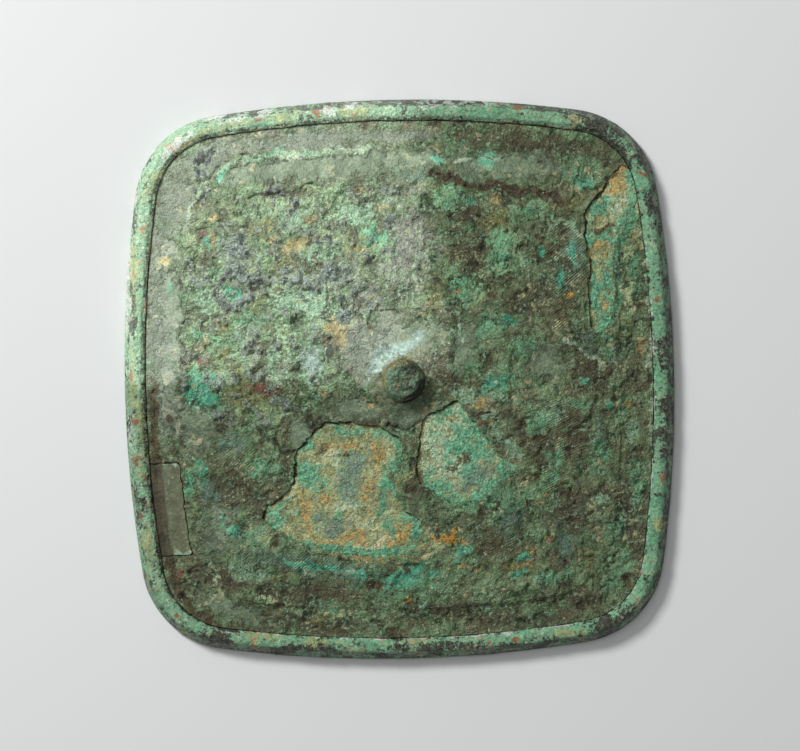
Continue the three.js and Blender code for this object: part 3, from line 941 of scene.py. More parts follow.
paste, tree, shader, grain = new_material("stained_paste")
masks = masks_of(tree, paste_masks)
colour = toned(tree, grain["Patches"], "#7F8560", "#A3A977", "#BABD8E", "#D2D2A8")
colour, covers = laid_over(tree, colour, grain, {
    "cream": ("#97B08C", "#C3D2AE", masks["cream"], 1.6, 4.0, "Edge", "Fine"),
    "blue grey": ("#65816E", "#8DA389", masks["blue grey"], 1.3, 4.0, "Edge", "Middling"),
    "ochre": ("#94824E", "#C6AC70", masks["ochre"], 2.0, 4.0, "Edge", "Fine"),
})
orange_mask = summed(tree, 0.0, (masks["orange"], 0.72), (covers["ochre"], 0.2))
crumb_mask = summed(tree, -0.08, (grain["Middling"], 0.6))
speck_mask = calc(tree, "MULTIPLY", grain["Specks"], 0.6)
colour = laid_over(tree, colour, grain, {
    "orange": ("#A5813F", "#CDAA60", orange_mask, 1.6, 4.0, "Fine", "Dust"),
    "green": ("#3F8762", "#84BD98", masks["green"], 2.0, 4.5, "Edge", "Fine"),
    "dark": ("#423C2A", "#625B40", masks["dark"], 1.8, 4.0),
    "crumbs": ("#4A8460", "#7DB08A", crumb_mask, 1.3, 6.0, "Dust", "Fine"),
    "specks": ("#3F4A34", "#525E41", speck_mask, 1.2, 6.0, "Broad", "Patches"),
})[0]
finish_patina(
    tree, shader, with_dirt_and_relief_shading(tree, colour, grain, 0.6, 1.1), grain["Relief"], 0.6, 1.0,
    roughness=summed(tree, 0.78, (grain["Fine"], 0.2)),
)
bed.data.materials.append(paste)
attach(bed, "root")
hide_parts("bedding_layer")


# The back sheet: thin cast bronze, domed, with a small step up from its border to its field and a
# low collar round the knob. It lies on the paste and on the frame's ledge. Its smooth olive skin is
# lost over much of the upper left, and it is broken through in three places.
tile_top = -21.5
tile_bottom = -47.0
crack_width = 0.28

skin_lost = smooth_loop([
    (-57, 43), (-51, 43.5), (-47, 45), (-44.5, 49), (-41, 50), (-34, 51), (-28, 51.5), (-23, 53.5),
    (-18, 54), (-15, 52), (-5, 51), (3, 52.5), (9, 55), (13, 55.5), (17, 54), (22, 52.5), (28, 53),
    (33, 51), (40, 50), (43, 48.5), (44, 46), (38, 44), (34, 40), (33, 30), (28, 22), (20, 19),
    (12, 18), (8, 16.5), (2, 18), (-6, 18), (-10, 15), (-18, 12), (-18, 2), (-19, -3), (-27, -8),
    (-32, -12), (-42, -12), (-50, -10), (-53, -7), (-58, -3), (-60, 5), (-58, 20), (-57, 35),
], 4)
# Dark lines: cracks, and painted shadows below the skin's step edges at the top left and the field's edge at
# the left
cracks_and_shadow_lines = [
    [(-4, -12.6), (0, -13), (3, -12.6), (6, -11)],
    [(-7, -17), (-3.5, -15.5), (0, -16)],
    [(62.5, 60.5), (60.5, 58)],
    [(-58.5, 30), (-58.8, 20), (-58.3, 5)],
    [(-9, 15.5), (-7, 17.5), (-2, 18.7), (3, 18), (5, 17), (8, 15)],
    [(-23, 17), (-20, 21), (-17, 24), (-12, 27)],
    [(-26.5, 7), (-26.8, 4), (-26, 1)],
    [(-19.5, 12), (-18.6, 9), (-19.3, 5)],
    [(14.8, 7), (15, 3)],
    [(-45, 49), (-41, 49.8), (-34, 51), (-28, 51.3), (-23, 53.2)],
    [(-52, 56), (-48, 60), (-40, 61.5)],
    [(16, -8), (17, -10), (20, -10.6), (24, -9)],
    [(-32, -12.5), (-34, -17), (-30, -19.5), (-26, -19)],
]
# Pale lines: mint and turquoise crust, and painted highlights along step edges that face the lamp, such as
# the field's edge at the top left
pale_lines_and_lit_edges = [
    [(-57, 44), (-55, 49), (-50, 56.5), (-46, 59), (-40, 60.2), (-30, 61.5), (-20, 62.5), (-5, 62.8)],
    [(17.5, 59), (22, 60), (29, 59.5)],
    [(67.7, 46), (68.3, 25), (68.6, 0), (68.2, -25), (67.2, -42)],
    [(45, 10), (50, 6.5), (55, 3)],
    [(-45, 7), (-42, 9), (-40, 14)],
    [(-12, -51.5), (-18, -52.3), (-26, -52)],
    [(16, 18), (16.5, 13), (17.5, 9)],
    [(40, 44.6), (46, 42), (50, 38)],
]
malachite = [
    (-53, -1.5, 5, 3.5, -60), (-55, 13, 2, 1.5), (-40, -42, 5, 3), (-58, -25, 1.5, 1.5),
    (-58, -29.5, 1.5, 2), (-37, -23, 4, 3), (28, 34, 3, 5), (34, 7.5, 3, 3), (18, 3, 3, 3.4),
    (57, 6, 1.6, 2), (48.5, -8, 2, 1.6), (42, -22, 2, 3), (42, -27.5, 2, 2), (38, -31, 2, 1.6),
    (39, -55, 3, 2), (46, -53, 3, 2, 20), (58, -41, 2, 2.6), (60, -48, 2, 2), (48, -50, 2, 1.6),
    (14, 48.5, 4.5, 3, 20), (-45, 11, 6, 6, 40), (-39, 17.5, 6, 3), (27, -1.5, 4, 3, 30),
    (-9, -53.3, 6, 1.4, -6), (6, 58, 4, 1.6), (35, 44.5, 4, 2.2, 10), (2, -55, 8, 3.6), (30, -36, 5, 5),
    (54, -20, 3, 5), (-20, -62, 3, 1.4), (16, 24, 4.5, 4.5), (48, 56, 6, 3, -20), (28, 59, 5, 2),
    (-8, 60, 5, 1.4), (64, 30, 1.6, 7), (64, -30, 1.8, 6), (24, 14, 4, 2.5, 30), (58, -55, 4, 2, 40),
    (-64, 25, 1.2, 3), (-6, 38, 4, 4), (36, -12, 3, 3),
]
turquoise = [
    (-6, 39, 1.9, 1.9), (11.5, 59.5, 1.1, 1), (25, 59.3, 3, 1.8), (-51.5, 38, 1.5, 1.5),
    (29.5, 14.5, 1.6, 1.3), (51, 52, 1.6, 1.2), (40, 34, 1.4, 1.8), (26, -1.8, 2.6, 1.4, 25),
    (50.5, -1.5, 1, 1), (-54, -24.4, 1.7, 2.8, 10), (-58, -27, 0.9, 1.2), (-53.5, -3, 4.6, 3.2, -50),
    (-45.2, -40, 1.3, 2.4, -20), (-49.2, -38.5, 0.9, 2), (-13, -52, 5, 0.9), (-1, -54.5, 4.5, 2.6, 10),
    (4, -51, 2.6, 1.4, 20), (16, -46.5, 2, 1.8), (32.5, -49, 1.5, 0.9), (32, -53.3, 1.4, 0.9),
    (-62, 25, 0.7, 2), (14.5, -50.5, 1.4, 0.8), (56, -9, 1, 1.6), (44, 27, 0.8, 3, 8),
    (48, 33, 0.7, 2.5, 5), (-56, -3, 2, 1.4, -40), (-52, 1.5, 1.6, 1.2), (-44.5, 25, 2.6, 2.6),
    (20, 47.5, 1.4, 1), (8, -52, 1.2, 1), (-33, 61.5, 5, 0.7, 6), (-47, 57.5, 4, 0.8, 40),
    (-22, -50.6, 6, 1, -8), (-30, -49.2, 3, 0.8, -8),
]
mint = [
    (16, 24.5, 3, 3.6), (40, -10.5, 3.2, 2.4, 10), (-58.5, -19, 1.5, 1.4), (-41, -52, 6.5, 1.8, -5),
    (28.5, -36, 3.4, 3.8), (53.5, -33.5, 2, 1.8), (59, -6, 1, 3.6, 10), (63, -15, 1.6, 3),
    (-24.5, 6, 5, 6), (21, 56.3, 5, 2), (17, -4, 3, 1.6, -35), (36, 46.5, 2.4, 1.2), (-52, 22, 3, 5),
    (-30, 43, 8, 4), (-20, 34, 8, 4, 20), (-10, 45, 5, 4), (-25, 22, 9, 5, 10), (-34, 6, 3, 5),
    (-2, -56, 2.6, 1.6), (18.5, 9, 2, 2), (24.5, -12.5, 3.6, 2, -50), (30.6, -19, 2.8, 1.6, -40),
    (28.5, -25, 2.4, 1.6, 50),
]
ochre = [
    (-49.5, 39.5, 1, 4.6), (-23, 44, 2, 1.4), (-27.5, 37, 2, 1.4), (-31, 36, 1.4, 1.1),
    (-34, 38, 1.2, 1.2), (-54, 8.5, 1.5, 1), (-52.5, 10.5, 1.2, 0.9), (-10.5, 51.5, 1.5, 1),
    (-3, 46, 1.4, 0.9), (15.5, 24, 1.1, 0.9), (26.5, 48.5, 1.8, 1.5), (22, -7, 1.6, 1.3),
    (59, -5, 1, 0.9), (39, -32, 1.4, 1.1), (37, -35, 1.2, 0.9), (16, -44.5, 1.1, 0.9),
    (13.5, -51, 1, 0.8), (17, -51.7, 1.2, 0.8), (21, -52.5, 1.4, 0.8), (33, -51.3, 1.3, 0.9),
    (40, -44.5, 1.3, 1), (35, -47.5, 1, 0.9), (65, 37, 1.3, 1.8), (66, 8, 1.1, 2), (-63, 33, 1.1, 1.6),
    (8, -8.3, 2, 0.7, 35), (-20.5, -3.5, 1.2, 2, 20), (-17, 14.5, 2.6, 2), (25, -13, 0.9, 1.6),
    (6.8, 17.2, 0.9, 0.9), (-21, 31, 1.6, 1.1), (-8, -6.5, 2, 1.4), (-16.3, 11.5, 1.8, 2.6),
]
orange = [
    (46.5, 22, 1.2, 0.9), (11.5, -43.5, 2.7, 0.9), (13, -42.3, 1.4, 0.8, 30), (1, -60.5, 1.6, 0.8),
    (58.5, -8.5, 0.9, 0.7), (62, -8, 0.8, 0.6), (21.5, -9.8, 0.7, 0.6), (25.4, -12.3, 0.6, 1),
]
rust = [
    (-53, 40, 1.3, 1.1), (-53, 5.5, 1.2, 1), (-37, -1.5, 3.6, 1.5, -5), (-44.5, 27.5, 1.2, 1),
    (22, -13.5, 1.6, 0.8, 20), (44, 20, 1, 0.8), (55.5, -11, 0.8, 0.7), (-60.5, -52, 1, 0.8),
]
scabs = [
    (-43.5, 36.5, 3.2, 3.6, 20), (-37, 27.5, 2, 1.8), (-33, 52, 1.8, 1.5), (-28, 48.5, 1.2, 1.8),
    (-39.5, 10.5, 2.8, 4, 20), (-2, 43, 1.5, 1.4), (-49.5, 0, 1.5, 1.4), (-19, 29.3, 2.4, 2.1),
    (-27, 27.5, 2, 1.5, 30), (-23.5, 25, 2.2, 1.4), (-10, 25, 1.7, 1, 20), (-15.5, 22, 2.2, 1.6, 40),
    (-13, 30, 1.5, 1), (-2, 51.5, 3, 0.8), (-51, 62, 3.4, 1.4, 30), (-54, 57, 2, 1.6, 50),
    (-53, 52, 1.4, 1.6), (-13, 20, 1.2, 2.6, -25), (-21, 27, 1, 1), (-30, 30, 1.4, 1),
    (-15, 17.5, 1, 1.6, -30), (-22, 38, 1.1, 0.9), (-8, 33, 1.1, 0.9),
]
dark_zones = [
    (45, 30, 6, 11, 8), (46, -16, 6, 8, 20), (34, -66, 15, 1.8), (11.5, 0.5, 3.4, 4),
    (-9, -56.3, 3.6, 2.4), (20, 44, 5, 3), (62, -38, 4, 16), (8, 4, 6, 7), (-58, -11, 4, 8),
    (39, -18, 5, 8, 30), (40, 62, 22, 4, -8), (24, -46, 7, 4), (-3, -37, 4, 4), (3, -28, 3, 7),
    (-64, -60, 5, 4, -40), (-45, -28, 9, 6, -20), (-30, -66, 20, 2.5, -3), (45, -38, 7, 6, 30),
    (10, -63, 12, 3), (-50, -52, 8, 3, -20), (50, -60, 7, 3, 25), (-27, -57, 17, 3, -5),
    (-33, -27, 2.2, 8, -25), (-22, -11, 7, 1.6, 15), (-8, -11.6, 7, 1.2, -5), (-39, -36, 3, 1.4, 30),
    (33, 20, 6, 6), (20, 33, 5, 7, 20), (54, 2, 5, 6),
]
smooth_skin = [
    (-20, 58, 40, 3.5, 4), (30, 57.5, 18, 4, -4), (-13, 50, 2.6, 2.4), (-27, -14.5, 4, 3.8),
    (-55, -12, 4.5, 8, 10), (-50, -40, 6, 7), (2.5, 11, 12, 4, 8), (18, 9, 4, 8, -10), (-62, 15, 4, 30),
    (-24.5, 6, 5, 6), (5, -9, 14, 4, -5), (-46, -62, 12, 3, -18), (40, 4, 6, 5), (-12, -8, 8, 4),
    (58, 25, 2, 8),
]
violet_wash = [(-12, 9, 6, 7, 40), (2, 37, 7, 12), (-8, 22, 6, 5), (-20, 26, 8, 4, 20)]
scab_ring = (-44.5, 25.5, 4.6)
pale_border = [
    (-65, 14, 4.2, 32), (-60.5, 50, 5.5, 12, -24), (-50, 61.5, 11, 5, 35), (-25, 65, 20, 3.4, 3),
    (-63, -8, 3, 6), (0, 66, 12, 1.6), (-5, 11.5, 9, 4.5, 35), (-10, 4, 4, 6),
]
cream = [
    (65, 49, 1.4, 7, 8), (66, 38, 1.3, 6, 2), (62.5, 33, 1.6, 2.4), (62.5, 23, 1.6, 6, 4),
    (-36, -43, 3, 1.4, -30), (8, -46, 3, 1.6, 20), (-38, -58.5, 3, 1, -5), (-17, -63.6, 2.6, 1.2),
]
brown_scar = [
    (9, 55), (13, 55.5), (17, 54), (22, 52.3), (28, 52.8), (33, 50.8), (38, 50), (42, 48.8),
    (45.5, 46.5),
]
# A pale film at the left, and a painted highlight on the collar's upper left slope beside the knob
pale_film_and_collar_highlight = [
    (-23.3, 5.5, 3, 4.6), (-6.3, 3.4, 1.5, 3.4, -25), (-3.4, 7.2, 3.4, 1.7, 42), (0.8, 8.8, 3, 1.3, 8),
    (4.6, 10.4, 2.6, 0.9, 25),
]
# The channel inside the rim at the lower left: cut low, and painted dark both as a dark groove and as
# painted shade from the rim
channel = [
    (-67.0, 0), (-67.2, -15), (-66.5, -29), (-65.2, -41), (-64.2, -47), (-62.4, -53), (-60.2, -57.8),
    (-55.8, -62.8), (-51, -65.5),
]
teal = [
    (-25.5, -50.2, 20, 2.8, -8.6), (48.3, 33, 2.2, 6), (30, -39, 4.6, 3.6), (54.7, -14.5, 1.2, 5),
    (43, -45, 3, 5, 20), (-46, -16, 4, 3), (52, 8, 2.2, 3), (-52, -30, 2, 3), (4, 55, 4, 1.6),
]
sulphur = [
    (-36, 42, 6, 3, 10), (-28, 38.5, 6, 3), (-46, 8, 4, 5), (-31, 31, 5, 3, 20), (-48, 15, 3, 3),
    (-41, -3, 5, 3), (-12, 36, 4, 3), (-38, 20, 3, 4), (28, 43, 4, 2, 10), (10, 24, 3, 4),
    (50, -50, 4, 3, 30), (30, -52, 5, 2), (-33, -54, 5, 2, -5), (61, 12, 2, 5), (36, -27, 3, 2, 20),
    (-2, -8.5, 3, 2), (-22, -64.5, 4, 1.4), (47, 47, 3, 2),
]
pits = [
    (11.4, 5.2, 0.8, 0.6), (15.2, 16.7, 0.7, 0.7), (-8.2, 14.6, 0.9, 0.6), (21.8, -36.6, 1, 1.5),
    (25.4, -33.8, 1, 0.8), (32.2, -12.6, 1.4, 1), (29.8, -16.1, 1.3, 0.8), (61, -56.3, 1.7, 1.3),
    (-34.8, -43.5, 1.6, 1.2), (-40.4, -28.7, 1, 0.8), (-8.3, -55.6, 2.4, 1.2), (45, 4, 0.9, 0.7),
    (-62, -19, 1.4, 1.2), (-62, -10, 1.2, 1), (38, 38, 2, 0.7, -30), (4, 46, 1.2, 0.7),
]
scratched_rising = [(46, 30, 6, 13), (44, 18, 4, 4), (-44, -20, 4, 5), (-28, -48.5, 17, 2.6, -4)]
scratched_falling = [(45, -15, 5, 9, 15), (40, -28, 4, 4), (26, -46, 6, 4, 20)]


def back_fields(places):
    """Masks of the skins and growths of the sheet's back, and its relief, at places on it"""
    flat = places * (1, 1, 0)
    strayed = moved_unevenly(flat, 1.0, 4.2, 3, 41)
    patchy = 0.12 * unevenness(flat, 2.2, 4, seed=44)
    rough_edge = depth_inside(strayed, skin_lost)
    lost = ramp(rough_edge, -0.22, 0.22)
    ring_x, ring_y, ring_radius = scab_ring
    ring_away = np.abs(np.hypot(strayed[:, 0] - ring_x, strayed[:, 1] - ring_y) - ring_radius)
    crack_away = np.min([distance_to_line(strayed, line) for line in cracks_and_shadow_lines], axis=0)
    line_away = np.min([distance_to_line(strayed, line) for line in pale_lines_and_lit_edges], axis=0)
    collar_away = np.hypot(flat[:, 0] - collar_centre[0], flat[:, 1] - collar_centre[1])
    fields = {
        "malachite": grown(strayed, malachite) + patchy,
        "turquoise": grown(strayed, turquoise) + patchy,
        "mint": grown(strayed, mint) + patchy,
        "ochre": 1.35 * grown(strayed, ochre) - 0.22 + patchy,
        "orange": 1.35 * grown(strayed, orange) - 0.22 + patchy,
        "rust": 1.35 * grown(strayed, rust) - 0.22 + patchy,
        "scab": np.maximum(grown(strayed, scabs), np.maximum(1 - 0.5 * ring_away / 0.9, 0)),
        "dark": grown(strayed, dark_zones) + patchy,
        "skin": np.maximum(grown(strayed, smooth_skin), 0.36 * (1 - lost)) - 0.3 * lost + patchy,
        "violet": grown(strayed, violet_wash) + patchy,
        "crack_and_painted_shadow": 1 - 0.5 * crack_away / 0.42 + 0.5 * patchy,
        "pale": 1 - 0.5 * line_away / 0.5 + patchy,
        "collar": ramp(collar_away, collar_radius + 2.4, collar_radius - 3.0)
        * ramp(flat[:, 0] - 0.8 * flat[:, 1], 10, -3),
        "plateau": ramp(unevenness(flat, 4.6, 4, seed=57), 0.05, 0.22),
        "hollow": ramp(unevenness(flat, 5.4, 4, seed=58), 0.22, 0.38),
        "pale border": grown(strayed, pale_border) + 0.7 * patchy,
        "cream": 1.3 * grown(strayed, cream) - 0.2 + patchy,
        "pale_film_and_collar_highlight": grown(strayed, pale_film_and_collar_highlight) + patchy,
        "teal": grown(strayed, teal) + patchy,
        "sulphur": grown(strayed, sulphur) + patchy,
        "rising": ramp(grown(strayed, scratched_rising), 0.3, 0.7),
        "falling": ramp(grown(strayed, scratched_falling), 0.3, 0.7),
    }
    crags = ramp(unevenness(flat, 3.4, 4, seed=65), 0.28, 0.42)
    fields["scab"] = np.maximum(fields["scab"], 0.4 * crags * lost * ramp(flat[:, 0], 10, -6))
    scab_fringe = 1.3 * patchy * ramp(fields["scab"], 0.05, 0.3)
    fields["scab"] = fields["scab"] + scab_fringe - 0.4 * (fields["scab"] < 0.02)
    channel_away = distance_to_line(strayed, channel)
    beside_breaks = np.max([depth_inside(strayed + beside_reach, outline) for outline in breaks], axis=0)
    spread = ramp(beside_breaks, -1.5, 1.2)
    scar_away = distance_to_line(strayed, brown_scar)
    scar = ramp(scar_away, 1.3, 0.5)
    fields["furrow_and_painted_shade"] = np.maximum(1.1 - 0.5 * channel_away / 0.9, 1.1 - 0.5 * scar_away / 0.8) + patchy
    pit = grown(strayed, pits)
    further = {
        "malachite": 0.78 * spread + patchy,
        "mint": 0.72 * spread * (flat[:, 0] > 3) + patchy,
        "ochre": 0.5 * spread * (flat[:, 0] < 8) + patchy,
        "dark": 1.1 * scar,
        "furrow_and_painted_shade": pit,
    }
    for name, field in further.items():
        fields[name] = np.maximum(fields[name], field)
    fields["crack_and_painted_shadow"] = fields["crack_and_painted_shadow"] - 0.35 * ramp(unevenness(flat, 5, 2, seed=59), 0.1, 0.6)
    coarse = lumpy(flat, (0.36, 2.7, 4, 51), (0.24, 1.15, 3, 52))
    coarse = coarse + 0.38 * fields["plateau"] - 0.42 * fields["hollow"] + 0.45 * lost * crags
    gentle = 0.05 * unevenness(flat, 3.0, 3, seed=53)
    skin_share = np.maximum(ramp(fields["skin"], 0.4, 0.6), 0.9 * ramp(fields["pale border"], 0.4, 0.6))
    relief = lumpy(flat, (0.16, 22, 3, 54), (0.08, 8, 2, 55))
    relief = relief + 0.12 - 0.5 * lost + gentle + coarse * (1 - 0.8 * skin_share) * (1.05 - 0.05 * lost)
    scab_height = 0.6 + 0.55 * unevenness(flat, 1.2, 3, seed=60)
    relief = relief + scab_height * ramp(fields["scab"], 0.42, 0.62)
    relief = relief + 0.18 * ramp(fields["malachite"], 0.42, 0.62) - 0.5 * ramp(channel_away, 1.6, 0.8)
    relief = relief + 0.2 * ramp(fields["turquoise"], 0.42, 0.62) - 0.15 * ramp(fields["ochre"], 0.4, 0.7)
    crack_depth = 0.45 * ramp(fields["crack_and_painted_shadow"], 0.3, 0.75)
    relief = relief - crack_depth - 0.4 * ramp(pit, 0.4, 0.7) + 0.1 * scar + 0.12 * ramp(line_away, 0.9, 0.2)
    relief = relief * ramp(collar_away, 6.0, 13.0) ** 0.5
    return fields, relief


weave_relief = back_fields(weave_places)[1]
held_flat = ramp(ring_numbers(last_ring)[2].ravel(), last_ring, last_ring - 3)
sheet_top = plain_z + (weave_relief * held_flat).reshape(plain_z.shape)
sheet = slab("broken_back_sheet", weave_x, weave_y, sheet_top, plain_z - sheet_thickness)


def tile_cutter(drawn_in):
    """The left part of the border between the tile's two ends, drawn in all round"""
    steps = 60
    low = tile_bottom + drawn_in
    high = tile_top - drawn_in
    turns = np.linspace(math.radians(150), math.radians(240), 400)
    x, y = edge_places(rounded_square(*step_outline), turns, -drawn_in)
    levels = np.linspace(high, low, steps)
    inner_x = np.interp(levels, y[::-1], x[::-1])
    across = np.linspace(0, 1, steps // 2)[1:, None]
    low_end = np.array((inner_x[-1], low)) * (1 - across) + np.array((-mirror_width / 2 - 2, low)) * across
    high_end = np.array((-mirror_width / 2 - 2, high)) * (1 - across) + np.array((inner_x[0], high)) * across
    loop = np.concatenate((np.column_stack((inner_x, levels)), low_end, high_end[:-1]))
    for _ in range(5):
        loop = 0.5 * loop + 0.25 * (np.roll(loop, 1, axis=0) + np.roll(loop, -1, axis=0))
    return prism("tile_cutter", ragged(loop, 0.18, 2.0, 66))


for outline in breaks:
    cut(sheet, prism("break_cutter", outline))
cut(sheet, tile_cutter(0))
cut(sheet, tenon_cutter())

places = places_of(sheet)
sheet_masks = back_fields(places)[0]
store_masks(sheet, sheet_masks)

back_patina, tree, shader, grain = new_material("back_patina")
masks = masks_of(tree, sheet_masks)
ground_share = summed(
    tree, -0.24, (grain["Patches"], 0.5), (masks["plateau"], 0.16), (masks["hollow"], -0.2),
    (grain["Broad"], 0.3), (grain["Middling"], 0.35), (grain["Fine"], 0.3), use_clamp=True,
)
olive = toned(tree, ground_share, "#3B3626", "#57533B", "#6F6F52", "#878E6C", "#AAB48D")
green = toned(tree, ground_share, "#2F3F2D", "#49603F", "#637F58", "#7F9F74", "#A5C69A")
green_share = summed(
    tree, -0.62, (grain["Hue"], 0.8), (grain["Broad"], 1.5), (masks["plateau"], 0.25), use_clamp=True
)
fleck_mask = summed(tree, -0.01, (grain["Hue"], 0.42))
sulphur_mask = calc(tree, "MULTIPLY", masks["sulphur"], 0.72)
collar_mask = calc(tree, "MULTIPLY", masks["collar"], 0.62)
halo_mask = calc(tree, "ADD", masks["scab"], 0.18)
scab_mask = calc(tree, "SUBTRACT", masks["scab"], 0.1)
speck_mask = calc(tree, "MULTIPLY", grain["Specks"], 0.56)
colour, covers = laid_over(tree, mixed(tree, green_share, olive, green), grain, {
    "dark": ("#423E2B", "#5D5941", masks["dark"], 1.8, 3.0),
    "violet": ("#66665E", "#868A7D", masks["violet"], 1.8, 2.5),
    "mint": ("#6C8F72", "#94B696", masks["mint"], 2.2, 4.5),
    "malachite": ("#457F5A", "#7BAE84", masks["malachite"], 2.2, 4.5),
    "flecks": ("#71957A", "#95AE8E", fleck_mask, 1.2, 4.0, "Fine", "Patches"),
    "sulphur": ("#5C5B33", "#86874F", sulphur_mask, 2.0, 2.5, "Edge", "Fine"),
    "teal": ("#475D4C", "#6C8873", masks["teal"], 1.6, 3.5),
    "skin": ("#4A5843", "#68795F", masks["skin"], 0.9, 5.0, "Edge", "Hue"),
    "border": ("#5C6656", "#788170", masks["pale border"], 1.2, 3.0),
    "cream": ("#819A72", "#ABB588", masks["cream"], 2.0, 3.5),
    "turquoise": ("#2C7E60", "#5FAA8A", masks["turquoise"], 1.6, 5.0),
    "ochre": ("#807353", "#A29765", masks["ochre"], 2.0, 3.0),
    "orange": ("#947030", "#C9953A", masks["orange"], 1.6, 6.0),
    "rust": ("#63483A", "#7F5342", masks["rust"], 2.0, 3.5),
    "collar": ("#4F543F", "#6C7359", collar_mask, 1.4, 2.5),
    # Pale film, and the painted highlight on the collar
    "pale_film_and_collar_highlight": ("#6A8076", "#8CA197", masks["pale_film_and_collar_highlight"], 0.9, 2.2, "Edge", "Fine"),
    # Dark furrows, scar and pits, with painted shade in the channel beside the rim
    "furrow_and_painted_shade": ("#3B3629", "#5C5439", masks["furrow_and_painted_shade"], 1.1, 3.5, "Edge", "Fine"),
    "halo": ("#5C6653", "#8D9A86", halo_mask, 1.8, 4.0, "Edge", "Fine"),
    "scab": ("#0E1412", "#7F8E87", scab_mask, 2.2, 8.0, "Edge", "Hue"),
    "specks": ("#353628", "#464531", speck_mask, 1.2, 6.0, "Middling", "Patches"),
    # Pale crust lines, and painted highlights along lit step edges
    "pale": ("#6E9273", "#98A88B", masks["pale"], 1.8, 3.0),
    # Dark cracks, and painted shadow lines below step edges
    "crack_and_painted_shadow": ("#2B2A1D", "#403D2C", masks["crack_and_painted_shadow"], 1.3, 4.0),
})
marks = 0.0
for name, turn in (("rising", 50), ("falling", 65)):
    inputs = {"Place": grain["Place"], "Turn": math.radians(turn)}
    lines = put(tree, "Group", inputs, node_tree=file_marks).outputs[0]
    marks = summed(tree, marks, (lines, masks[name]))
marks_kept = summed(tree, -1.1, (grain["Middling"], 3.0), use_clamp=True)
marks = calc(tree, "MULTIPLY", marks, marks_kept)
colour = times(tree, colour, summed(tree, 0.94, (marks, 0.8)))
smoothness = calc(tree, "MAXIMUM", covers["skin"], covers["collar"])
smoothness = calc(tree, "MAXIMUM", smoothness, calc(tree, "MULTIPLY", covers["border"], 0.55))
colour = with_dirt_and_relief_shading(tree, colour, grain, summed(tree, 0.52, (smoothness, -0.24)), 1.3)
roughened = summed(tree, 1.0, (smoothness, -0.7))
relief = summed(tree, calc(tree, "MULTIPLY", grain["Relief"], roughened), (marks, 0.5))
finish_patina(
    tree, shader, with_painted_lit_quarter(tree, colour, grain, 0.9), relief, 0.9, 1.0,
    roughness=summed(tree, 0.82, (smoothness, -0.34)),
)
sheet.data.materials.append(back_patina)
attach(sheet, "root")
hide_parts("back_sheet")


# The loose tile: a piece of the sheet's border that has cracked free at both ends. It is the
# sheet's own bronze with a smooth grey-brown skin, and still lies on the ledge in its old place.
tile_relief = lumpy(weave_places, (0.05, 9, 3, 61), (0.03, 2, 3, 62))
tile_relief = tile_relief - 0.5 * ramp(distance_to_line(weave_places, channel), 1.6, 0.8)
tile_top_z = plain_z + (tile_relief * held_flat).reshape(plain_z.shape)
tile = slab("loose_border_tile", weave_x, weave_y, tile_top_z, plain_z - sheet_thickness)
cut(tile, tile_cutter(crack_width), "INTERSECT")
places = places_of(tile)
edge_near = np.minimum(places[:, 1] - tile_bottom, tile_top - places[:, 1])
tile_edge = ramp(edge_near, 2.6, 0.4) * 0.5 + 0.16 * unevenness(places, 1.6, 3, seed=63)
# The tile's edge along the channel: painted dark, as a dark groove and as painted shade from the rim
channel_dark_and_shade = 1.3 - 0.5 * distance_to_line(places, channel) / 1.1
tile_masks = {"green edge": tile_edge, "hollow": channel_dark_and_shade}
store_masks(tile, tile_masks)

tile_patina, tree, shader, grain = new_material("tile_patina")
masks = masks_of(tree, tile_masks)
ground_share = summed(tree, -0.3, (grain["Middling"], 1.6), use_clamp=True)
colour = toned(tree, ground_share, "#474B34", "#555B42", "#666C52")
speck_mask = calc(tree, "MULTIPLY", grain["Specks"], 0.5)
colour, covers = laid_over(tree, colour, grain, {
    "green": ("#5A7B62", "#8A9F84", masks["green edge"], 1.8, 3.0),
    # Dark groove with painted shade along the channel
    "hollow": ("#32301F", "#48442F", masks["hollow"], 0.9, 4.0),
    "specks": ("#3A3A2E", "#46442F", speck_mask, 1.2, 6.0, "Broad", "Patches"),
})
finish_patina(
    tree, shader, with_dirt_and_relief_shading(tree, colour, grain, 0.3, 1.1), grain["Relief"], 0.2, 0.8,
    roughness=summed(tree, 0.6, (covers["green"], 0.2)),
)
tile.data.materials.append(tile_patina)
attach(tile, "root")
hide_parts("border_tile")


# The knob: a cast bronze stub on a tenon that stands in the paste, pierced low down for a cord. It
# was set through the sheet as its own piece, and ochre shows at its foot on the upper left.
knob_height = 5.0
knob_taper = 0.4
knob_rounding = 1.3
cord_hole_width = 3.4
cord_hole_height = 2.9
cord_hole_floor = 0.3
cord_hole_turn = 15.0
knob_top = collar_top + knob_height
stub_radius = knob_radius - knob_taper
flat_top_radius = 2.2
knob_voxel = 0.2
knob_sides = 96

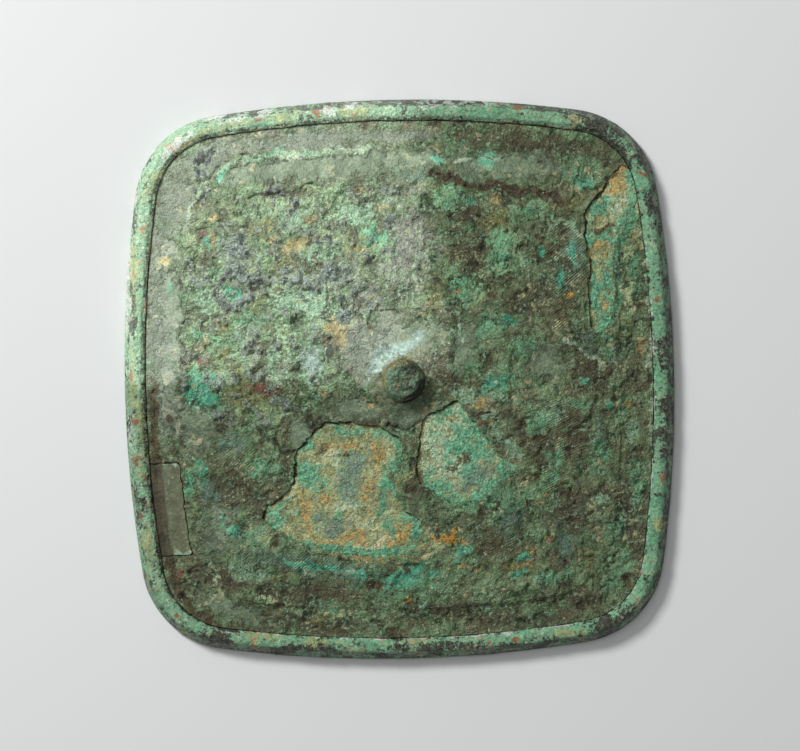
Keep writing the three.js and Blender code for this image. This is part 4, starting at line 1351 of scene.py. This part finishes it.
rounding = [
    (
        stub_radius - knob_rounding * (1 - math.cos(turn)),
        knob_top - knob_rounding * (1 - math.sin(turn)),
    )
    for turn in np.linspace(0, math.pi / 2, 8)
]
profile = [
    (tenon_radius, plate_thickness + clearance), (tenon_radius, collar_top), (knob_radius, collar_top),
    *rounding, (flat_top_radius, knob_top - 0.15),
]
knob_turns = np.linspace(0, 2 * math.pi, knob_sides + 1)[:-1]
knob_places = [(0, 0, plate_thickness + clearance)]
for radius, z in profile:
    knob_places += [(radius * math.cos(turn), radius * math.sin(turn), z) for turn in knob_turns]
knob_places.append((0, 0, knob_top - 0.2))
knob_faces = []
for place in range(knob_sides):
    after = (place + 1) % knob_sides
    knob_faces.append([0, 1 + after, 1 + place])
    for level in range(len(profile) - 1):
        low = 1 + level * knob_sides
        high = low + knob_sides
        knob_faces.append([low + place, low + after, high + after, high + place])
    last = 1 + (len(profile) - 1) * knob_sides
    knob_faces.append([last + place, last + after, last + knob_sides])
knob = new_piece("pierced_knob", np.array(knob_places) + (*knob_centre, 0), knob_faces)

# The cord hole: an arch, laid along the mirror's upright and then turned
arch_radius = cord_hole_width / 2
springing = cord_hole_height - arch_radius
arch = [(-arch_radius, 0), (arch_radius, 0)]
arch += [
    (arch_radius * math.cos(turn), springing + arch_radius * math.sin(turn))
    for turn in np.linspace(0, math.pi, 17)
]
hole_turn = math.radians(cord_hole_turn)
hole_places = []
for along in (-knob_radius - 1, knob_radius + 1):
    for across, up in arch:
        hole_places.append((
            knob_centre[0] + across * math.cos(hole_turn) - along * math.sin(hole_turn),
            knob_centre[1] + across * math.sin(hole_turn) + along * math.cos(hole_turn),
            collar_top + cord_hole_floor + up,
        ))
count = len(arch)
hole_faces = [list(range(count)), list(range(count, 2 * count))[::-1]]
hole_faces += [
    [start, count + start, count + (start + 1) % count, (start + 1) % count] for start in range(count)
]
cut(knob, new_piece("hole_cutter", np.array(hole_places), hole_faces))
remesh = knob.modifiers.new("remesh", "REMESH")
remesh.mode = "VOXEL"
remesh.voxel_size = knob_voxel * MILLIMETRE
remesh.use_smooth_shade = True
softened = knob.modifiers.new("softened", "SMOOTH")
softened.iterations = 3
make_plain(knob)
knob.data.polygons.foreach_set("use_smooth", [True] * len(knob.data.polygons))

places = places_of(knob)
standing = ramp(places[:, 2], collar_top, collar_top + 0.6)
knob_lumps = lumpy(places, (0.16, 2.6, 3, 71), (0.09, 0.9, 3, 72))
knob_x = places[:, 0] - knob_centre[0]
knob_y = places[:, 1] - knob_centre[1]
knob_edge = ramp(np.hypot(knob_x, knob_y), 2.2, 5.4) * ramp(places[:, 2], knob_top - 2.2, knob_top - 1.0)
knob_worn = knob_edge * (0.25 + 0.55 * ramp(knob_x - knob_y, -2, 6))
swell(knob, standing * (knob_lumps - 0.24) - knob_worn)
places = places_of(knob)
knob_away = np.hypot(knob_x, knob_y)
ochre_foot = ramp(knob_away, 4.3, 5.1) * ramp(knob_y - knob_x, 1, 5.5)
# Painted shade: the knob's lower right side, turned from the lamp, is painted near black
lower_right_shade = ramp(knob_x - knob_y, 3.4, 6.2) * ramp(knob_away, 2.6, 4.6)
knob_patchy = unevenness(places, 1.6, 3, seed=73)
knob_masks = {
    "green": 0.36 + 0.2 * knob_patchy,
    "rust": 0.2 + 0.2 * unevenness(places, 1.2, 2, seed=74),
    "ochre": 0.6 * ochre_foot + 0.12 * knob_patchy - 0.08,
    "painted_shade": 0.8 * lower_right_shade + 0.1 * knob_patchy,
}
store_masks(knob, knob_masks)

knob_patina, tree, shader, grain = new_material("knob_patina")
masks = masks_of(tree, knob_masks)
colour = toned(tree, grain["Patches"], "#2A3227", "#4C5F48", "#6D846B", "#99AD8E")
speck_mask = calc(tree, "MULTIPLY", grain["Specks"], 0.58)
colour, covers = laid_over(tree, colour, grain, {
    "green": ("#37604A", "#668E70", masks["green"], 1.8, 3.0, "Edge", "Fine"),
    "rust": ("#4A3A2F", "#66503F", masks["rust"], 1.6, 5.0, "Fine", "Patches"),
    "ochre": ("#6D5C38", "#9E8350", masks["ochre"], 1.6, 3.5, "Fine", "Dust"),
    # Painted shade on the knob's lower right side
    "painted_shade": ("#1B1D15", "#33362A", masks["painted_shade"], 1.4, 3.0),
    "specks": ("#23261D", "#33301F", speck_mask, 1.2, 6.0, "Broad", "Patches"),
})
finish_patina(
    tree, shader, with_dirt_and_relief_shading(tree, colour, grain, 0.7, 1.25), grain["Relief"], 0.3, 0.8,
    roughness=summed(tree, 0.5, (covers["green"], 0.25)),
    metallic=summed(tree, 0.3, (covers["green"], -0.3)),
)
knob.data.materials.append(knob_patina)
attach(knob, "root")
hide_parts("knob")


# Crust nodules: small hard grains of corrosion that stand on the back where the skin is lost. Each
# has only a few dozen faces, flattened and turned at random from a fixed seed.
nodule_patina, tree, shader, grain = new_material("nodule_patina")
colour = toned(tree, grain["Patches"], "#3F4236", "#5C6753", "#7C9078", "#9DAB93")
colour = with_dirt_and_relief_shading(tree, colour, grain, 0.5)
finish_patina(
    tree, shader, with_painted_lit_quarter(tree, colour, grain, 0.9), grain["Relief"], 0.2, 0.8, roughness=0.8
)

scatter, given, made = new_group(
    "nodule_scatter",
    {
        "Geometry": "mesh", "Density": "value", "Least Size": "value", "Greatest Size": "value",
        "Seed": "count", "Material": "material",
    },
    {"Geometry": "mesh"}, "GeometryNodeTree",
)
tree = scatter
where_grown = put(tree, "GeometryNodeInputNamedAttribute", {"Name": "nodule_cover"}, data_type="FLOAT")
density = calc(tree, "MULTIPLY", where_grown.outputs[0], given["Density"])
points = put(
    tree, "GeometryNodeDistributePointsOnFaces",
    {"Mesh": given["Geometry"], "Density": density, "Seed": given["Seed"]},
)
grain_shape = put(tree, "GeometryNodeMeshUVSphere", {"Segments": 8, "Rings": 5, "Radius": 1.0})
size = put(
    tree, "FunctionNodeRandomValue",
    {"Min": given["Least Size"], "Max": given["Greatest Size"], "Seed": given["Seed"]},
    data_type="FLOAT",
)
flattened = put(tree, "CombineXYZ", {0: 1.0, 1: 0.8, 2: 0.5}).outputs[0]
spin = put(
    tree, "FunctionNodeRandomValue", {"Max": (0.3, 0.3, 6.28), "Seed": 5}, data_type="FLOAT_VECTOR"
)
nodules = put(
    tree, "GeometryNodeInstanceOnPoints",
    {
        "Points": points.outputs["Points"], "Instance": grain_shape.outputs["Mesh"],
        "Rotation": spin.outputs[0], "Scale": times(tree, flattened, size.outputs[1]),
    },
)
realized = put(tree, "GeometryNodeRealizeInstances", {"Geometry": nodules.outputs[0]})
smoothed = put(tree, "GeometryNodeSetShadeSmooth", {"Geometry": realized.outputs[0]})
finished = put(
    tree, "GeometryNodeSetMaterial", {"Geometry": smoothed.outputs[0], "Material": given["Material"]}
)
feed(tree, made, {"Geometry": finished.outputs[0]})

nodule_crust = bpy.data.objects.new("nodule_crust", sheet.data.copy())
bpy.context.scene.collection.objects.link(nodule_crust)
places = places_of(nodule_crust)
facing_up = values_of(nodule_crust, "normal")[:, 2] > 0.6
clumps = ramp(unevenness(places, 5, 3, seed=81), 0.0, 0.6)
lost_here = ramp(depth_inside(places * (1, 1, 0), skin_lost), -1, 1.5)
cover = facing_up * (0.12 + 0.88 * lost_here) * (0.15 + 0.85 * clumps)
held = nodule_crust.data.attributes.new("nodule_cover", "FLOAT", "POINT")
held.data.foreach_set("value", cover)
modifier = nodule_crust.modifiers.new("scatter", "NODES")
modifier.node_group = scatter
scatter_settings = {
    "Density": 420000.0, "Least Size": 0.00012, "Greatest Size": 0.00042, "Seed": 7,
    "Material": nodule_patina,
}
for socket in scatter.interface.items_tree:
    if socket.name in scatter_settings:
        modifier[socket.identifier] = scatter_settings[socket.name]
make_plain(nodule_crust)
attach(nodule_crust, "root")


# The setting: a plain pale floor, a soft lamp at the upper left, a large soft panel overhead and
# pale surroundings. The camera looks straight down, turned a little, as in the photograph.
floor_mesh = bpy.data.meshes.new("floor")
floor_mesh.from_pydata([(-3, -3, 0), (3, -3, 0), (3, 3, 0), (-3, 3, 0)], [], [(0, 1, 2, 3)])
floor = bpy.data.objects.new("floor", floor_mesh)
bpy.context.scene.collection.objects.link(floor)
floor_paint = bpy.data.materials.new("floor_paint")
floor_paint.use_nodes = True
floor_shader = floor_paint.node_tree.nodes["Principled BSDF"]
floor_shader.inputs["Base Color"].default_value = paint("#DADCDC")
floor_shader.inputs["Roughness"].default_value = 0.9
floor_mesh.materials.append(floor_paint)


def add_lamp(name, place, size, level):
    """A square lamp aimed at the mirror. Level is how bright it alone makes a white floor there"""
    lamp = bpy.data.lights.new(name, "AREA")
    lamp.size = size
    distance = math.sqrt(sum(part ** 2 for part in place))
    lamp.energy = level * math.pi ** 2 * distance ** 3 / place[2]
    lamp_object = bpy.data.objects.new(name, lamp)
    lamp_object.location = place
    back = np.array(place) / distance
    lamp_object.rotation_euler = (math.acos(back[2]), 0, math.atan2(back[1], back[0]) + math.pi / 2)
    bpy.context.scene.collection.objects.link(lamp_object)


add_lamp("key_lamp", (-0.46, 0.46, 0.65), 0.2, 0.62)
add_lamp("overhead_panel", (-0.36, 0.36, 1.35), 0.66, 0.16)
world = bpy.data.worlds.new("surroundings")
world.use_nodes = True
world.node_tree.nodes["Background"].inputs["Color"].default_value = (1, 1, 1, 1)
world.node_tree.nodes["Background"].inputs["Strength"].default_value = 0.22
bpy.context.scene.world = world

camera_height = 1.2
view_width = 0.2182
photo_turn = 0.019175
camera_data = bpy.data.cameras.new("camera")
camera_data.sensor_width = 36
camera_data.lens = 36 * camera_height / view_width
camera = bpy.data.objects.new("camera", camera_data)
camera_right = 0.00016
camera_up = 0.00098
camera.location = (
    camera_right * math.cos(photo_turn) + camera_up * math.sin(photo_turn),
    camera_up * math.cos(photo_turn) - camera_right * math.sin(photo_turn),
    camera_height + edge_height * MILLIMETRE,
)
camera.rotation_euler = (0, 0, -photo_turn)
bpy.context.scene.collection.objects.link(camera)
bpy.context.scene.camera = camera
bpy.context.scene.view_settings.view_transform = "Standard"
